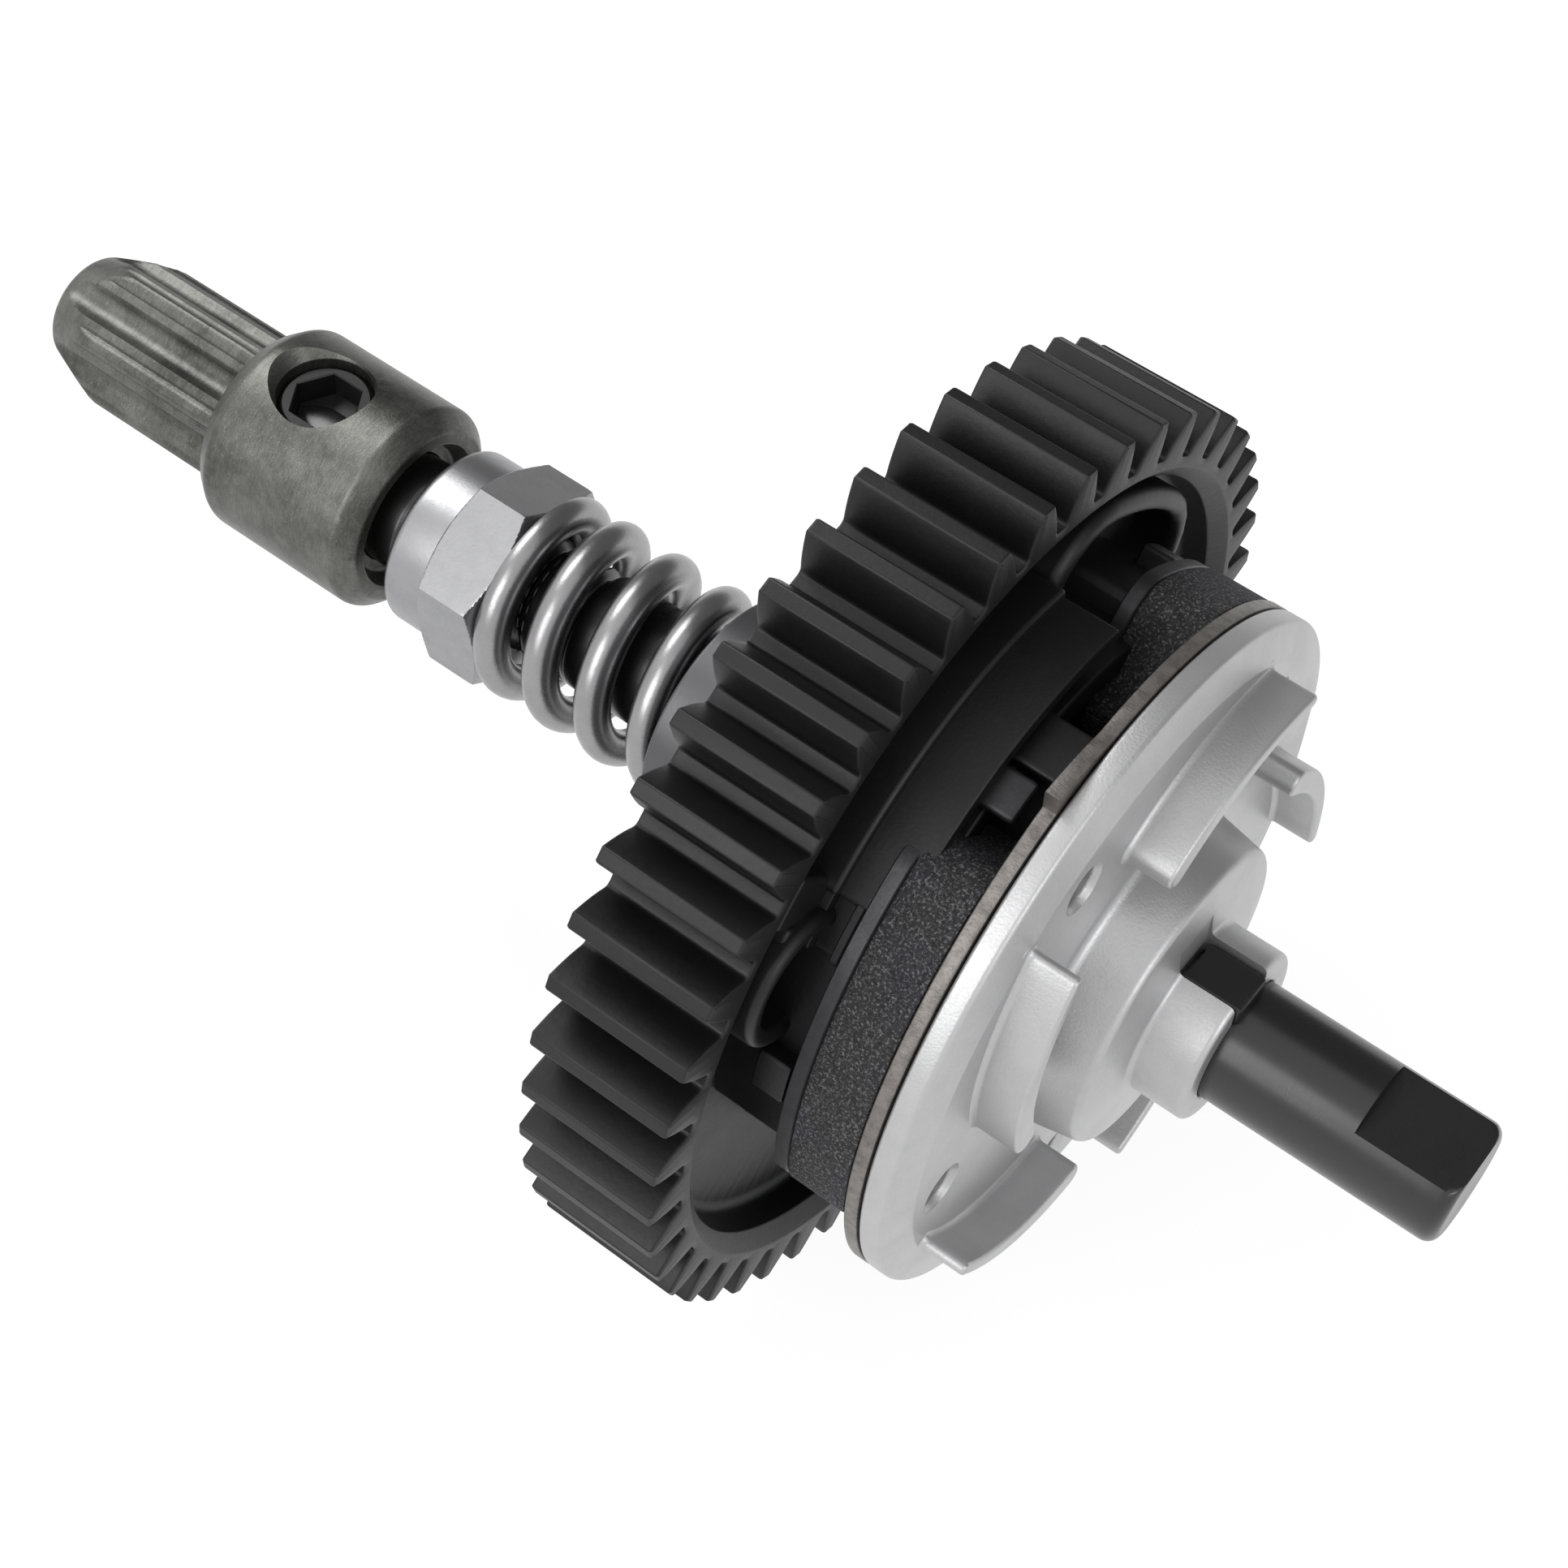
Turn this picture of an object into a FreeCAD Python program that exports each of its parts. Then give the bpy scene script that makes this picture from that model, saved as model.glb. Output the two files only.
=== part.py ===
import FreeCAD, Part
import os
from math import acos, cos, degrees, hypot, pi, radians, sin, sqrt, tan

V = FreeCAD.Vector

# A torque limiter for a 5 mm shaft. Lengths are in millimetres.
# +X runs along the shaft towards its flat end, +Z points through the key slot,
# and the origin is the middle of the gear. Angles count from +Z about +X.

# Gear
MODULE = 0.8
TEETH = 47
PRESSURE_ANGLE = 20.0
GEAR_HALF = 3.0
TOOTH_PHASE = 3.4
PITCH_R = MODULE * TEETH / 2
TIP_R = PITCH_R + MODULE
ROOT_R = PITCH_R - 1.25 * MODULE
ROOT_FILLET = 0.22
BACK_RIM_R = ROOT_R - MODULE
RIM_EDGE_R, RIM_R, RIM_FOOT_R = 17.35, 16.72, 16.2
RIM_CHAMFER_X, RIM_FOOT_X = 2.45, 1.2
WEB_LEFT, WEB_RIGHT = -1.5, 1.0
DRUM_R, DRUM_IN_R, DRUM_X = 12.4, 11.3, 5.6
GUARD_R, GUARD_ANGLES = 14.2, (-29.0, 44.0)
GUARD_FOOT_R, GUARD_FOOT_X = 14.55, 3.3
LUG_R, LUG_OFFSET, LUG_ANGLE, LUG_X = 2.75, 14.05, -7.5, 3.4
CLAW_ANGLES, CLAW_X = (8.0, 19.5), (2.9, 4.3)
SILL_ANGLE, WINDOW_DEPTH, WINDOW_X, WINDOW_INSET_ANGLE = 9.0, 0.6, (3.15, 4.0), 1.5
LEDGE_ANGLES, LEDGE_X = (-21.5, 5.5), 2.85

# Friction blocks and their inserts, three around the gear
PADS = 3
PAD_ANGLE = 63.5
PAD_R, PAD_INNER_R = 14.4, 8.0
PAD_HALF_WIDTH, PAD_END_SLOPE = 7.85, 14.0
PAD_CORNER = 1.6
INSERT_X, PAD_X, PAD_END_X = 4.4, 5.05, 7.6
SHANK_INSET, TOWER_INSET = 1.9, 1.0
POCKET_GAP = 0.08
PAD_SINK = DRUM_X - PAD_X

# Steel disc
DISC_R, DISC_LEFT, DISC_RIGHT = 14.44, 7.62, 8.2
TAB_RISE, TAB_ANGLE, TAB_SPAN_ANGLE = 0.86, 18.5, -13.0
TAB_R = DISC_R + TAB_RISE

# Finned hub
HUB_LEFT = 8.22
HUB_RIM_X, HUB_FACE_X, HUB_BEVEL = 9.15, 9.65, 1.44
HUB_FACE_R = DISC_R - HUB_BEVEL
BODY_FOOT_R, BODY_TOP_R, BODY_X = 6.8, 6.3, 12.2
BOSS_R, BOSS_FOOT_X, BOSS_X = 3.6, 12.45, 14.85
SLOT_WIDTH, SLOT_FLOOR = 2.16, 12.3
FINS = 5
FIN_RIM_GAP, FIN_OUTER_ANGLE = 0.1, 36.0
FIN_BODY_GAP, FIN_INNER_ANGLE = 2.5, 80.0
FIN_OUTER_R, FIN_INNER_R = HUB_FACE_R - FIN_RIM_GAP, BODY_FOOT_R + FIN_BODY_GAP
FIN_WIDTH, FIN_X = 1.1, 11.6
PIN_RIM_GAP, PIN_ANGLE, PIN_R, PIN_END_X = 1.7, 23.5, 0.85, 9.2
PIN_CIRCLE_R = HUB_FACE_R - PIN_RIM_GAP
NECK_R = 5.0
NECK_FLAT = 4.2

# Rear plate with the spring's cup
REAR_RIGHT = -1.9
REAR_THICK, REAR_R = 1.9, 14.0
NECK_END = REAR_RIGHT - 1.4
CUP_R, CUP_BORE_R, CUP_RIM_X, CUP_FLOOR_X = 4.9, 4.36, -9.4, -7.8

# Bush between gear and neck
BUSH_R = 6.0
BUSH_RIGHT = 7.2
RUNNING_GAP = 0.05

# Spring
WIRE = 1.2
COIL_R = 4.25 - WIRE / 2
SPRING_PITCH, CLOSED_PITCH = 2.65, 1.25
ACTIVE_TURNS, CLOSED_TURNS = 3.62, 0.72
SPRING_ANGLE = 120.0

# Lock nut
NUT_AF, NUT_RIGHT, NUT_HEX, NUT_HEIGHT = 8.0, -18.6, 3.0, 5.05
NUT_COLLAR_R, NUT_ANGLE = 3.95, 2.5
RING_R = 3.3

# Shaft
SHAFT_R = 2.5
RELIEF_WIDTH, RELIEF_DEPTH = 0.6, 0.2
SHAFT_LEFT, SHAFT_RIGHT = -31.5, 24.7
SHAFT_FLAT_Z, SHAFT_FLAT_X = 1.8, 20.53
KEY_LEFT, KEY_RIGHT, KEY_HALF, KEY_TOP, KEY_FLOOR = 12.6, 15.0, 0.96, 3.2, 1.3

# Yoke and its set screw
COLLAR_R, COLLAR_LEFT, COLLAR_RIGHT = 4.65, -33.6, -25.0
SPLINE_R, SPLINE_LEFT, SPLINE_TAPER, SPLINE_TIP_R = 3.45, -44.0, 3.0, 2.35
SPLINE_SIDES, SPLINE_ANGLE = 6, -4.0
GROOVE_R, GROOVE_DEPTH = 0.75, 0.45
SCREW_X, SCREW_R, SCREW_TOP, SCREW_SEAT = -29.8, 2.0, 3.9, 1.9
SOCKET_AF, SOCKET_DEPTH = 2.5, 1.2

AXIS = V(1, 0, 0)
ORIGIN = V(0, 0, 0)


def at(x, r, turn):
    """The point at radius r and the given turn from +Z."""
    a = radians(turn)
    return V(x, -r * sin(a), r * cos(a))


def turned(shape, turn):
    copy = shape.copy()
    copy.rotate(ORIGIN, AXIS, turn)
    return copy


def lathe(profile):
    """A solid turned about the shaft's axis from (x, radius) corners."""
    points = [V(x, 0, r) for x, r in profile]
    face = Part.Face(Part.makePolygon(points + points[:1]))
    return face.revolve(ORIGIN, AXIS, 360)


def drum(left, right, r, inner=0.0):
    solid = Part.makeCylinder(r, right - left, V(left, 0, 0), AXIS)
    if inner:
        solid = solid.cut(Part.makeCylinder(inner, right - left, V(left, 0, 0), AXIS))
    return solid


def block(x0, x1, y0, y1, z0, z1):
    return Part.makeBox(x1 - x0, y1 - y0, z1 - z0, V(x0, y0, z0))


def prism(wire, length):
    return Part.Face(wire).extrude(V(length, 0, 0))


def polygon_prism(sides, circumradius, x0, x1, turn):
    points = [at(x0, circumradius, turn + 360.0 * k / sides) for k in range(sides)]
    return prism(Part.makePolygon(points + points[:1]), x1 - x0)


def sector(x0, x1, inner, outer, start, stop):
    """A piece of a ring between two turns."""
    corners = [at(x0, inner, start), at(x0, outer, start), at(x1, outer, start),
               at(x1, inner, start)]
    face = Part.Face(Part.makePolygon(corners + corners[:1]))
    return face.revolve(ORIGIN, AXIS, stop - start)


def edge_near(shape, test):
    return [e for e in shape.Edges if test(e)]


def is_rim(edge, x, r):
    """True for a full or partial circle about the axis at this place."""
    curve = edge.Curve
    return (isinstance(curve, Part.Circle) and abs(curve.Center.x - x) < 1e-3
            and hypot(curve.Center.y, curve.Center.z) < 1e-3
            and abs(curve.Radius - r) < 1e-3)


# Gear

def involute(angle):
    return tan(angle) - angle


def flank_turn(r):
    """Half of the tooth's angle at radius r, in degrees."""
    alpha = radians(PRESSURE_ANGLE)
    base_r = PITCH_R * cos(alpha)
    here = involute(acos(min(1.0, base_r / r)))
    return degrees(pi / (2 * TEETH) + involute(alpha) - here)


def tooth_edges(middle, x):
    """One tooth: rising flank, tip land, falling flank and the root behind it."""
    start_r = ROOT_R + ROOT_FILLET
    radii = [start_r + (TIP_R - start_r) * k / 4 for k in range(5)]
    rising = [at(x, r, middle - flank_turn(r)) for r in radii]
    falling = [at(x, r, middle + flank_turn(r)) for r in reversed(radii)]
    foot = flank_turn(start_r) + degrees(ROOT_FILLET / ROOT_R) * 0.8
    pitch = 360.0 / TEETH
    root_in = at(x, ROOT_R, middle + foot)
    root_out = at(x, ROOT_R, middle + pitch - foot)
    next_start = at(x, start_r, middle + pitch - flank_turn(start_r))
    fillet_r = ROOT_R + ROOT_FILLET * 0.28
    edges = []
    for side in (rising, falling):
        curve = Part.BSplineCurve()
        curve.interpolate(side)
        edges.append(curve.toShape())
    edges.insert(1, Part.Arc(rising[-1], at(x, TIP_R, middle), falling[0]).toShape())
    turn_in = flank_turn(start_r) + degrees(ROOT_FILLET / ROOT_R) * 0.22
    edges.append(Part.Arc(falling[-1], at(x, fillet_r, middle + turn_in), root_in).toShape())
    middle_root = at(x, ROOT_R, middle + pitch / 2)
    edges.append(Part.Arc(root_in, middle_root, root_out).toShape())
    edges.append(Part.Arc(root_out, at(x, fillet_r, middle + pitch - turn_in),
                          next_start).toShape())
    return edges


def toothed_disc():
    edges = []
    for k in range(TEETH):
        edges += tooth_edges(TOOTH_PHASE + 360.0 * k / TEETH, -GEAR_HALF)
    return prism(Part.Wire(edges), 2 * GEAR_HALF)


def pad_face(x, inset):
    """The block's kidney outline, drawn about +Z, shrunk on every side by inset."""
    outer, inner = PAD_R - inset, PAD_INNER_R + inset
    slope = tan(radians(PAD_END_SLOPE))
    foot_z = sqrt(PAD_R ** 2 - PAD_HALF_WIDTH ** 2)
    shift = inset / cos(radians(PAD_END_SLOPE))

    def end_at(radius):
        # where the sloping end line meets this radius, found by halving
        low, high = 0.0, radius
        for _ in range(50):
            z = (low + high) / 2
            y = PAD_HALF_WIDTH - shift + slope * (z - foot_z)
            low, high = (z, high) if hypot(y, z) < radius else (low, z)
        return y, z

    (yo, zo), (yi, zi) = end_at(outer), end_at(inner)
    right_out, right_in = V(x, yo, zo), V(x, yi, zi)
    left_out, left_in = V(x, -yo, zo), V(x, -yi, zi)
    wire = Part.Wire([
        Part.Arc(left_out, V(x, 0, outer), right_out).toShape(),
        Part.makeLine(right_out, right_in),
        Part.Arc(right_in, V(x, 0, inner), left_in).toShape(),
        Part.makeLine(left_in, left_out)])
    return Part.Face(wire)


def pad_solid(x0, x1, inset):
    """The outline as a solid with its four long corners rounded."""
    solid = pad_face(x0, inset).extrude(V(x1 - x0, 0, 0))
    corners = edge_near(solid, lambda e: len(e.Vertexes) == 2 and
                        abs(abs(e.Vertexes[0].X - e.Vertexes[1].X) - (x1 - x0)) < 1e-6
                        and hypot(e.Vertexes[0].Y - e.Vertexes[1].Y,
                                  e.Vertexes[0].Z - e.Vertexes[1].Z) < 1e-6)
    return solid.makeFillet(max(0.3, PAD_CORNER - inset * 0.4), corners)


def pad_turns():
    return [PAD_ANGLE + 360.0 * k / PADS for k in range(PADS)]


def gear_recess():
    """The cutter for the right-hand recess: chamfered edge, wall and rounded foot."""
    return lathe([
        (GEAR_HALF + 4, 0), (GEAR_HALF + 4, RIM_EDGE_R), (GEAR_HALF, RIM_EDGE_R),
        (RIM_CHAMFER_X, RIM_R), (RIM_FOOT_X, RIM_R - 0.05), (WEB_RIGHT + 0.05, RIM_R - 0.2),
        (WEB_RIGHT, RIM_FOOT_R), (WEB_RIGHT, 0)])


def lug():
    """The round lug beside each block, drawn for a block about +Z."""
    base = WEB_RIGHT - 0.2
    lug = Part.makeCylinder(LUG_R, LUG_X - base, V(base, 0, LUG_OFFSET), AXIS)
    rim = edge_near(lug, lambda e: isinstance(e.Curve, Part.Circle)
                    and abs(e.Curve.Center.x - LUG_X) < 1e-3)
    return turned(lug.makeFillet(0.4, rim), LUG_ANGLE)


def gear_towers():
    pieces = []
    for turn in pad_turns():
        tower = pad_solid(WEB_RIGHT - 0.2, INSERT_X, TOWER_INSET)
        ledge = sector(WEB_RIGHT - 0.2, LEDGE_X, DRUM_IN_R, RIM_R + 0.1, *LEDGE_ANGLES)
        claw = sector(*CLAW_X, DRUM_IN_R, GUARD_R, *CLAW_ANGLES)
        pieces += [turned(piece, turn) for piece in (tower, ledge, claw, lug())]
    return pieces


def make_gear():
    gear = toothed_disc()
    gear = gear.cut(drum(-GEAR_HALF, WEB_LEFT, BACK_RIM_R)).cut(gear_recess())
    wall = drum(WEB_RIGHT - 0.2, DRUM_X, DRUM_R, DRUM_IN_R)
    boss = drum(WEB_RIGHT - 0.2, BUSH_RIGHT, BUSH_R + 1.3)
    start, stop = GUARD_ANGLES
    guard = sector(WEB_RIGHT - 0.2, DRUM_X, DRUM_IN_R, GUARD_R, start, stop)
    foot = sector(WEB_RIGHT - 0.2, GUARD_FOOT_X, DRUM_IN_R, GUARD_FOOT_R, start, stop)
    sill = sector(WEB_RIGHT - 0.2, INSERT_X, DRUM_IN_R, GUARD_R, stop - 1,
                  stop + SILL_ANGLE)
    gear = gear.fuse([wall, boss, guard, foot, sill] + gear_towers())
    for turn in pad_turns():
        seat = pad_solid(INSERT_X, DRUM_X + 1.0, -POCKET_GAP)
        hole = pad_solid(WEB_LEFT - 0.5, INSERT_X + 0.5, SHANK_INSET - POCKET_GAP)
        gear = gear.cut([turned(seat, turn), turned(hole, turn)])
    window = sector(*WINDOW_X, GUARD_R - WINDOW_DEPTH, GUARD_R + 1,
                    stop + WINDOW_INSET_ANGLE, stop + SILL_ANGLE - 1)
    gear = gear.cut([window, drum(WEB_LEFT - 1, BUSH_RIGHT + 1, BUSH_R)])
    return gear.removeSplitter()


def make_bush():
    return drum(WEB_LEFT, BUSH_RIGHT, BUSH_R, NECK_R + RUNNING_GAP)


def make_pad():
    pad = pad_solid(PAD_X, PAD_END_X, 0.0)
    return pad


def make_insert():
    flange = pad_solid(INSERT_X, PAD_X, 0.05)
    shank = pad_solid(REAR_RIGHT + 0.02, INSERT_X, SHANK_INSET)
    return flange.fuse(shank).removeSplitter()


# Disc, hub and rear plate

def pin_holes(x0, x1, r):
    return [turned(Part.makeCylinder(r, x1 - x0, at(x0, PIN_CIRCLE_R, PIN_ANGLE), AXIS),
                   360.0 * k / FINS) for k in range(FINS)]


def make_disc():
    disc = drum(DISC_LEFT, DISC_RIGHT, DISC_R)
    steps = 8
    ramp = [at(DISC_LEFT, DISC_R + (TAB_R - DISC_R) * k / steps,
               TAB_ANGLE + TAB_SPAN_ANGLE * (1 - k / steps)) for k in range(steps + 1)]
    root = [at(DISC_LEFT, DISC_R - 0.5, TAB_ANGLE),
            at(DISC_LEFT, DISC_R - 0.5, TAB_ANGLE + TAB_SPAN_ANGLE)]
    tab = prism(Part.makePolygon(ramp + root + ramp[:1]), DISC_RIGHT - DISC_LEFT)
    disc = disc.fuse(tab).cut(drum(DISC_LEFT, DISC_RIGHT, NECK_R + 0.02))
    return disc.cut(pin_holes(DISC_LEFT - 1, DISC_RIGHT + 1, PIN_R + 0.02)).removeSplitter()


def fin_point(s, offset):
    """A point of the fin's spiral, s from 0 at the rim to 1, moved sideways."""
    r = FIN_OUTER_R + (FIN_INNER_R - FIN_OUTER_R) * s
    turn = FIN_OUTER_ANGLE + (FIN_INNER_ANGLE - FIN_OUTER_ANGLE) * s
    step = 1e-4
    ahead = at(0, r + (FIN_INNER_R - FIN_OUTER_R) * step,
               turn + (FIN_INNER_ANGLE - FIN_OUTER_ANGLE) * step)
    here = at(0, r, turn)
    along = (ahead - here).normalize()
    side = AXIS.cross(along)
    return here + side * offset, along


def make_fin():
    """A curved wall of even width with round ends."""
    half = FIN_WIDTH / 2
    sides = []
    for offset in (half, -half):
        curve = Part.BSplineCurve()
        curve.interpolate([fin_point(k / 6, offset)[0] for k in range(7)])
        sides.append(curve.toShape())
    ends = []
    for s, sign in ((0.0, -1), (1.0, 1)):
        a, along = fin_point(s, half)
        b, _ = fin_point(s, -half)
        mid, _ = fin_point(s, 0.0)
        ends.append(Part.Arc(a, mid + along * (sign * half), b).toShape())
    wire = Part.Wire(Part.__sortEdges__(sides + ends))
    fin = prism(wire, FIN_X - HUB_FACE_X + 0.3)
    fin.translate(V(HUB_FACE_X - 0.3, 0, 0))
    return fin


def make_hub():
    hub = lathe([
        (HUB_LEFT, SHAFT_R + 0.01), (HUB_LEFT, DISC_R - 0.07), (HUB_LEFT + 0.07, DISC_R),
        (HUB_RIM_X, DISC_R), (HUB_FACE_X, HUB_FACE_R), (HUB_FACE_X, BODY_FOOT_R),
        (BODY_X - 0.35, BODY_TOP_R), (BODY_X, BODY_TOP_R - 0.4),
        (BOSS_FOOT_X, BOSS_R + 0.25), (BOSS_FOOT_X + 0.25, BOSS_R),
        (BOSS_X - 0.22, BOSS_R), (BOSS_X, BOSS_R - 0.22), (BOSS_X, SHAFT_R + 0.01)])
    neck = drum(NECK_END, HUB_LEFT, NECK_R, SHAFT_R + 0.01)
    for z in (-NECK_R - 1, NECK_FLAT):
        neck = neck.cut(block(NECK_END - 1, REAR_RIGHT, -NECK_R, NECK_R, z,
                              z + NECK_R + 1 - NECK_FLAT))
    fins = [turned(make_fin(), 360.0 * k / FINS) for k in range(FINS)]
    hub = hub.fuse([neck] + fins)
    slot = block(SLOT_FLOOR, BOSS_X + 1, -SLOT_WIDTH / 2, SLOT_WIDTH / 2, 0, BOSS_R + 1)
    return hub.cut([slot] + pin_holes(HUB_LEFT - 1, HUB_FACE_X + 1, PIN_R + 0.02))


def make_pin():
    pin = Part.makeCylinder(PIN_R, PIN_END_X - DISC_LEFT - 0.03,
                            at(DISC_LEFT + 0.03, PIN_CIRCLE_R, PIN_ANGLE), AXIS)
    return pin.makeChamfer(0.15, edge_near(pin, lambda e: isinstance(e.Curve, Part.Circle)
                                           and abs(e.Curve.Center.x - PIN_END_X) < 1e-3))


def make_rear_plate():
    left = REAR_RIGHT - REAR_THICK
    plate = lathe([
        (REAR_RIGHT, 0), (REAR_RIGHT, REAR_R - 0.2), (REAR_RIGHT - 0.2, REAR_R),
        (left + 0.3, REAR_R), (left, REAR_R - 0.3), (left, CUP_R + 2.4),
        (left - 1.0, CUP_R + 0.4), (left - 1.4, CUP_R), (CUP_RIM_X + 0.15, CUP_R),
        (CUP_RIM_X, CUP_R - 0.15), (CUP_RIM_X, CUP_BORE_R), (CUP_FLOOR_X, CUP_BORE_R),
        (CUP_FLOOR_X, 0)])
    socket = drum(NECK_END - 0.05, REAR_RIGHT, NECK_R + 0.02)
    flat = NECK_FLAT + 0.02
    for z in (-NECK_R - 1, flat):
        socket = socket.cut(block(NECK_END - 1, REAR_RIGHT, -NECK_R - 1, NECK_R + 1, z,
                                  z + NECK_R + 1 - flat))
    return plate.cut([socket, drum(CUP_RIM_X, REAR_RIGHT, SHAFT_R + 0.01)])


# Spring

def spring_pitch(t):
    """Rise per turn, t turns after the left closed coil ends."""
    def blend(s):
        s = max(0.0, min(1.0, s))
        return s * s * (3 - 2 * s)
    width = 0.24
    into = blend((t + width / 2) / width)
    out = blend((ACTIVE_TURNS + width / 2 - t) / width)
    return CLOSED_PITCH + (SPRING_PITCH - CLOSED_PITCH) * into * out


def spring_path(per_turn=16):
    start, stop = -CLOSED_TURNS, ACTIVE_TURNS + CLOSED_TURNS
    count = int(round((stop - start) * per_turn))
    fine = 8
    step = (stop - start) / (count * fine)
    x, points, zero_x = 0.0, [], 0.0
    for k in range(count * fine + 1):
        t = start + k * step
        if abs(t) < step / 2:
            zero_x = x
        if k % fine == 0:
            points.append(at(x, COIL_R, SPRING_ANGLE + 360.0 * t))
        x += spring_pitch(t + step / 2) * step
    shift = NUT_RIGHT + WIRE / 2 - zero_x
    return [p + V(shift, 0, 0) for p in points]


def make_spring():
    curve = Part.BSplineCurve()
    curve.interpolate(spring_path())
    start, along = curve.value(curve.FirstParameter), curve.tangent(curve.FirstParameter)[0]
    profile = Part.Wire([Part.Circle(start, along, WIRE / 2).toShape()])
    coil = Part.Wire([curve.toShape()]).makePipeShell([profile], True, True)
    outside = CUP_R + 2
    left = block(NUT_RIGHT - 4, NUT_RIGHT, -outside, outside, -outside, outside)
    right = block(CUP_FLOOR_X, CUP_FLOOR_X + 4, -outside, outside, -outside, outside)
    return coil.cut([left, right])


# Nut

def make_nut():
    left = NUT_RIGHT - NUT_HEIGHT
    hex_left = NUT_RIGHT - NUT_HEX
    corner = NUT_AF / 2 / cos(pi / 6)
    hexagon = polygon_prism(6, corner, hex_left, NUT_RIGHT, NUT_ANGLE)
    envelope = lathe([(hex_left, 0), (hex_left, NUT_AF / 2), (hex_left + 0.3, corner),
                      (NUT_RIGHT - 0.3, corner), (NUT_RIGHT, NUT_AF / 2 - 0.15),
                      (NUT_RIGHT, 0)])
    collar = lathe([(left, 0), (left, NUT_COLLAR_R - 0.45), (left + 0.12, NUT_COLLAR_R - 0.18),
                    (left + 0.4, NUT_COLLAR_R), (hex_left + 0.1, NUT_COLLAR_R),
                    (hex_left + 0.1, 0)])
    nut = hexagon.common(envelope).fuse(collar)
    seat = drum(left + 0.35, left + 1.6, RING_R)
    mouth = drum(left - 1, left + 1, RING_R - 0.3)
    bore = drum(left - 1, NUT_RIGHT + 1, SHAFT_R + RUNNING_GAP)
    lead = lathe([(NUT_RIGHT - 0.3, 0), (NUT_RIGHT - 0.3, SHAFT_R), (NUT_RIGHT, SHAFT_R + 0.3),
                  (NUT_RIGHT + 0.5, SHAFT_R + 0.3), (NUT_RIGHT + 0.5, 0)])
    return nut.cut([seat, mouth, bore, lead]).removeSplitter()


def make_nylon_ring():
    left = NUT_RIGHT - NUT_HEIGHT
    return drum(left + 0.35, left + 1.6, RING_R - 0.01, SHAFT_R + RUNNING_GAP / 2)


# Shaft and key

def make_shaft():
    shaft = drum(SHAFT_LEFT, SHAFT_RIGHT, SHAFT_R)
    relief_end = KEY_RIGHT + RUNNING_GAP
    shaft = shaft.cut(drum(relief_end - RELIEF_WIDTH, relief_end, SHAFT_R + 1,
                           SHAFT_R - RELIEF_DEPTH))
    tip = edge_near(shaft, lambda e: is_rim(e, SHAFT_RIGHT, SHAFT_R))
    shaft = shaft.makeFillet(0.55, tip)
    heel = edge_near(shaft, lambda e: is_rim(e, SHAFT_LEFT, SHAFT_R))
    shaft = shaft.makeChamfer(0.4, heel)
    flat = block(SHAFT_FLAT_X, SHAFT_RIGHT + 1, -4, 4, SHAFT_FLAT_Z, 4)
    screw_flat = block(SCREW_X - 2.3, SCREW_X + 2.3, -4, 4, SCREW_SEAT, 4)
    key_seat = block(KEY_LEFT, KEY_RIGHT, -KEY_HALF, KEY_HALF, KEY_FLOOR, 4)
    return shaft.cut([flat, screw_flat, key_seat])


def make_key():
    key = block(KEY_LEFT, KEY_RIGHT, -KEY_HALF, KEY_HALF, KEY_FLOOR, KEY_TOP)
    top = edge_near(key, lambda e: all(abs(v.Z - KEY_TOP) < 1e-6 for v in e.Vertexes)
                    or all(abs(v.X - KEY_RIGHT) < 1e-6 for v in e.Vertexes)
                    and abs(e.Vertexes[0].Z - e.Vertexes[1].Z) > 0.1)
    return key.makeFillet(0.18, top)


# Yoke

def spline_tip():
    """Keeps the spline's end inside a cone."""
    taper = SPLINE_LEFT + SPLINE_TAPER
    return lathe([(SPLINE_LEFT, 0), (SPLINE_LEFT, SPLINE_TIP_R), (taper, SPLINE_R + 0.05),
                  (COLLAR_LEFT + 0.3, SPLINE_R + 0.05), (COLLAR_LEFT + 0.3, 0)])


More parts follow.
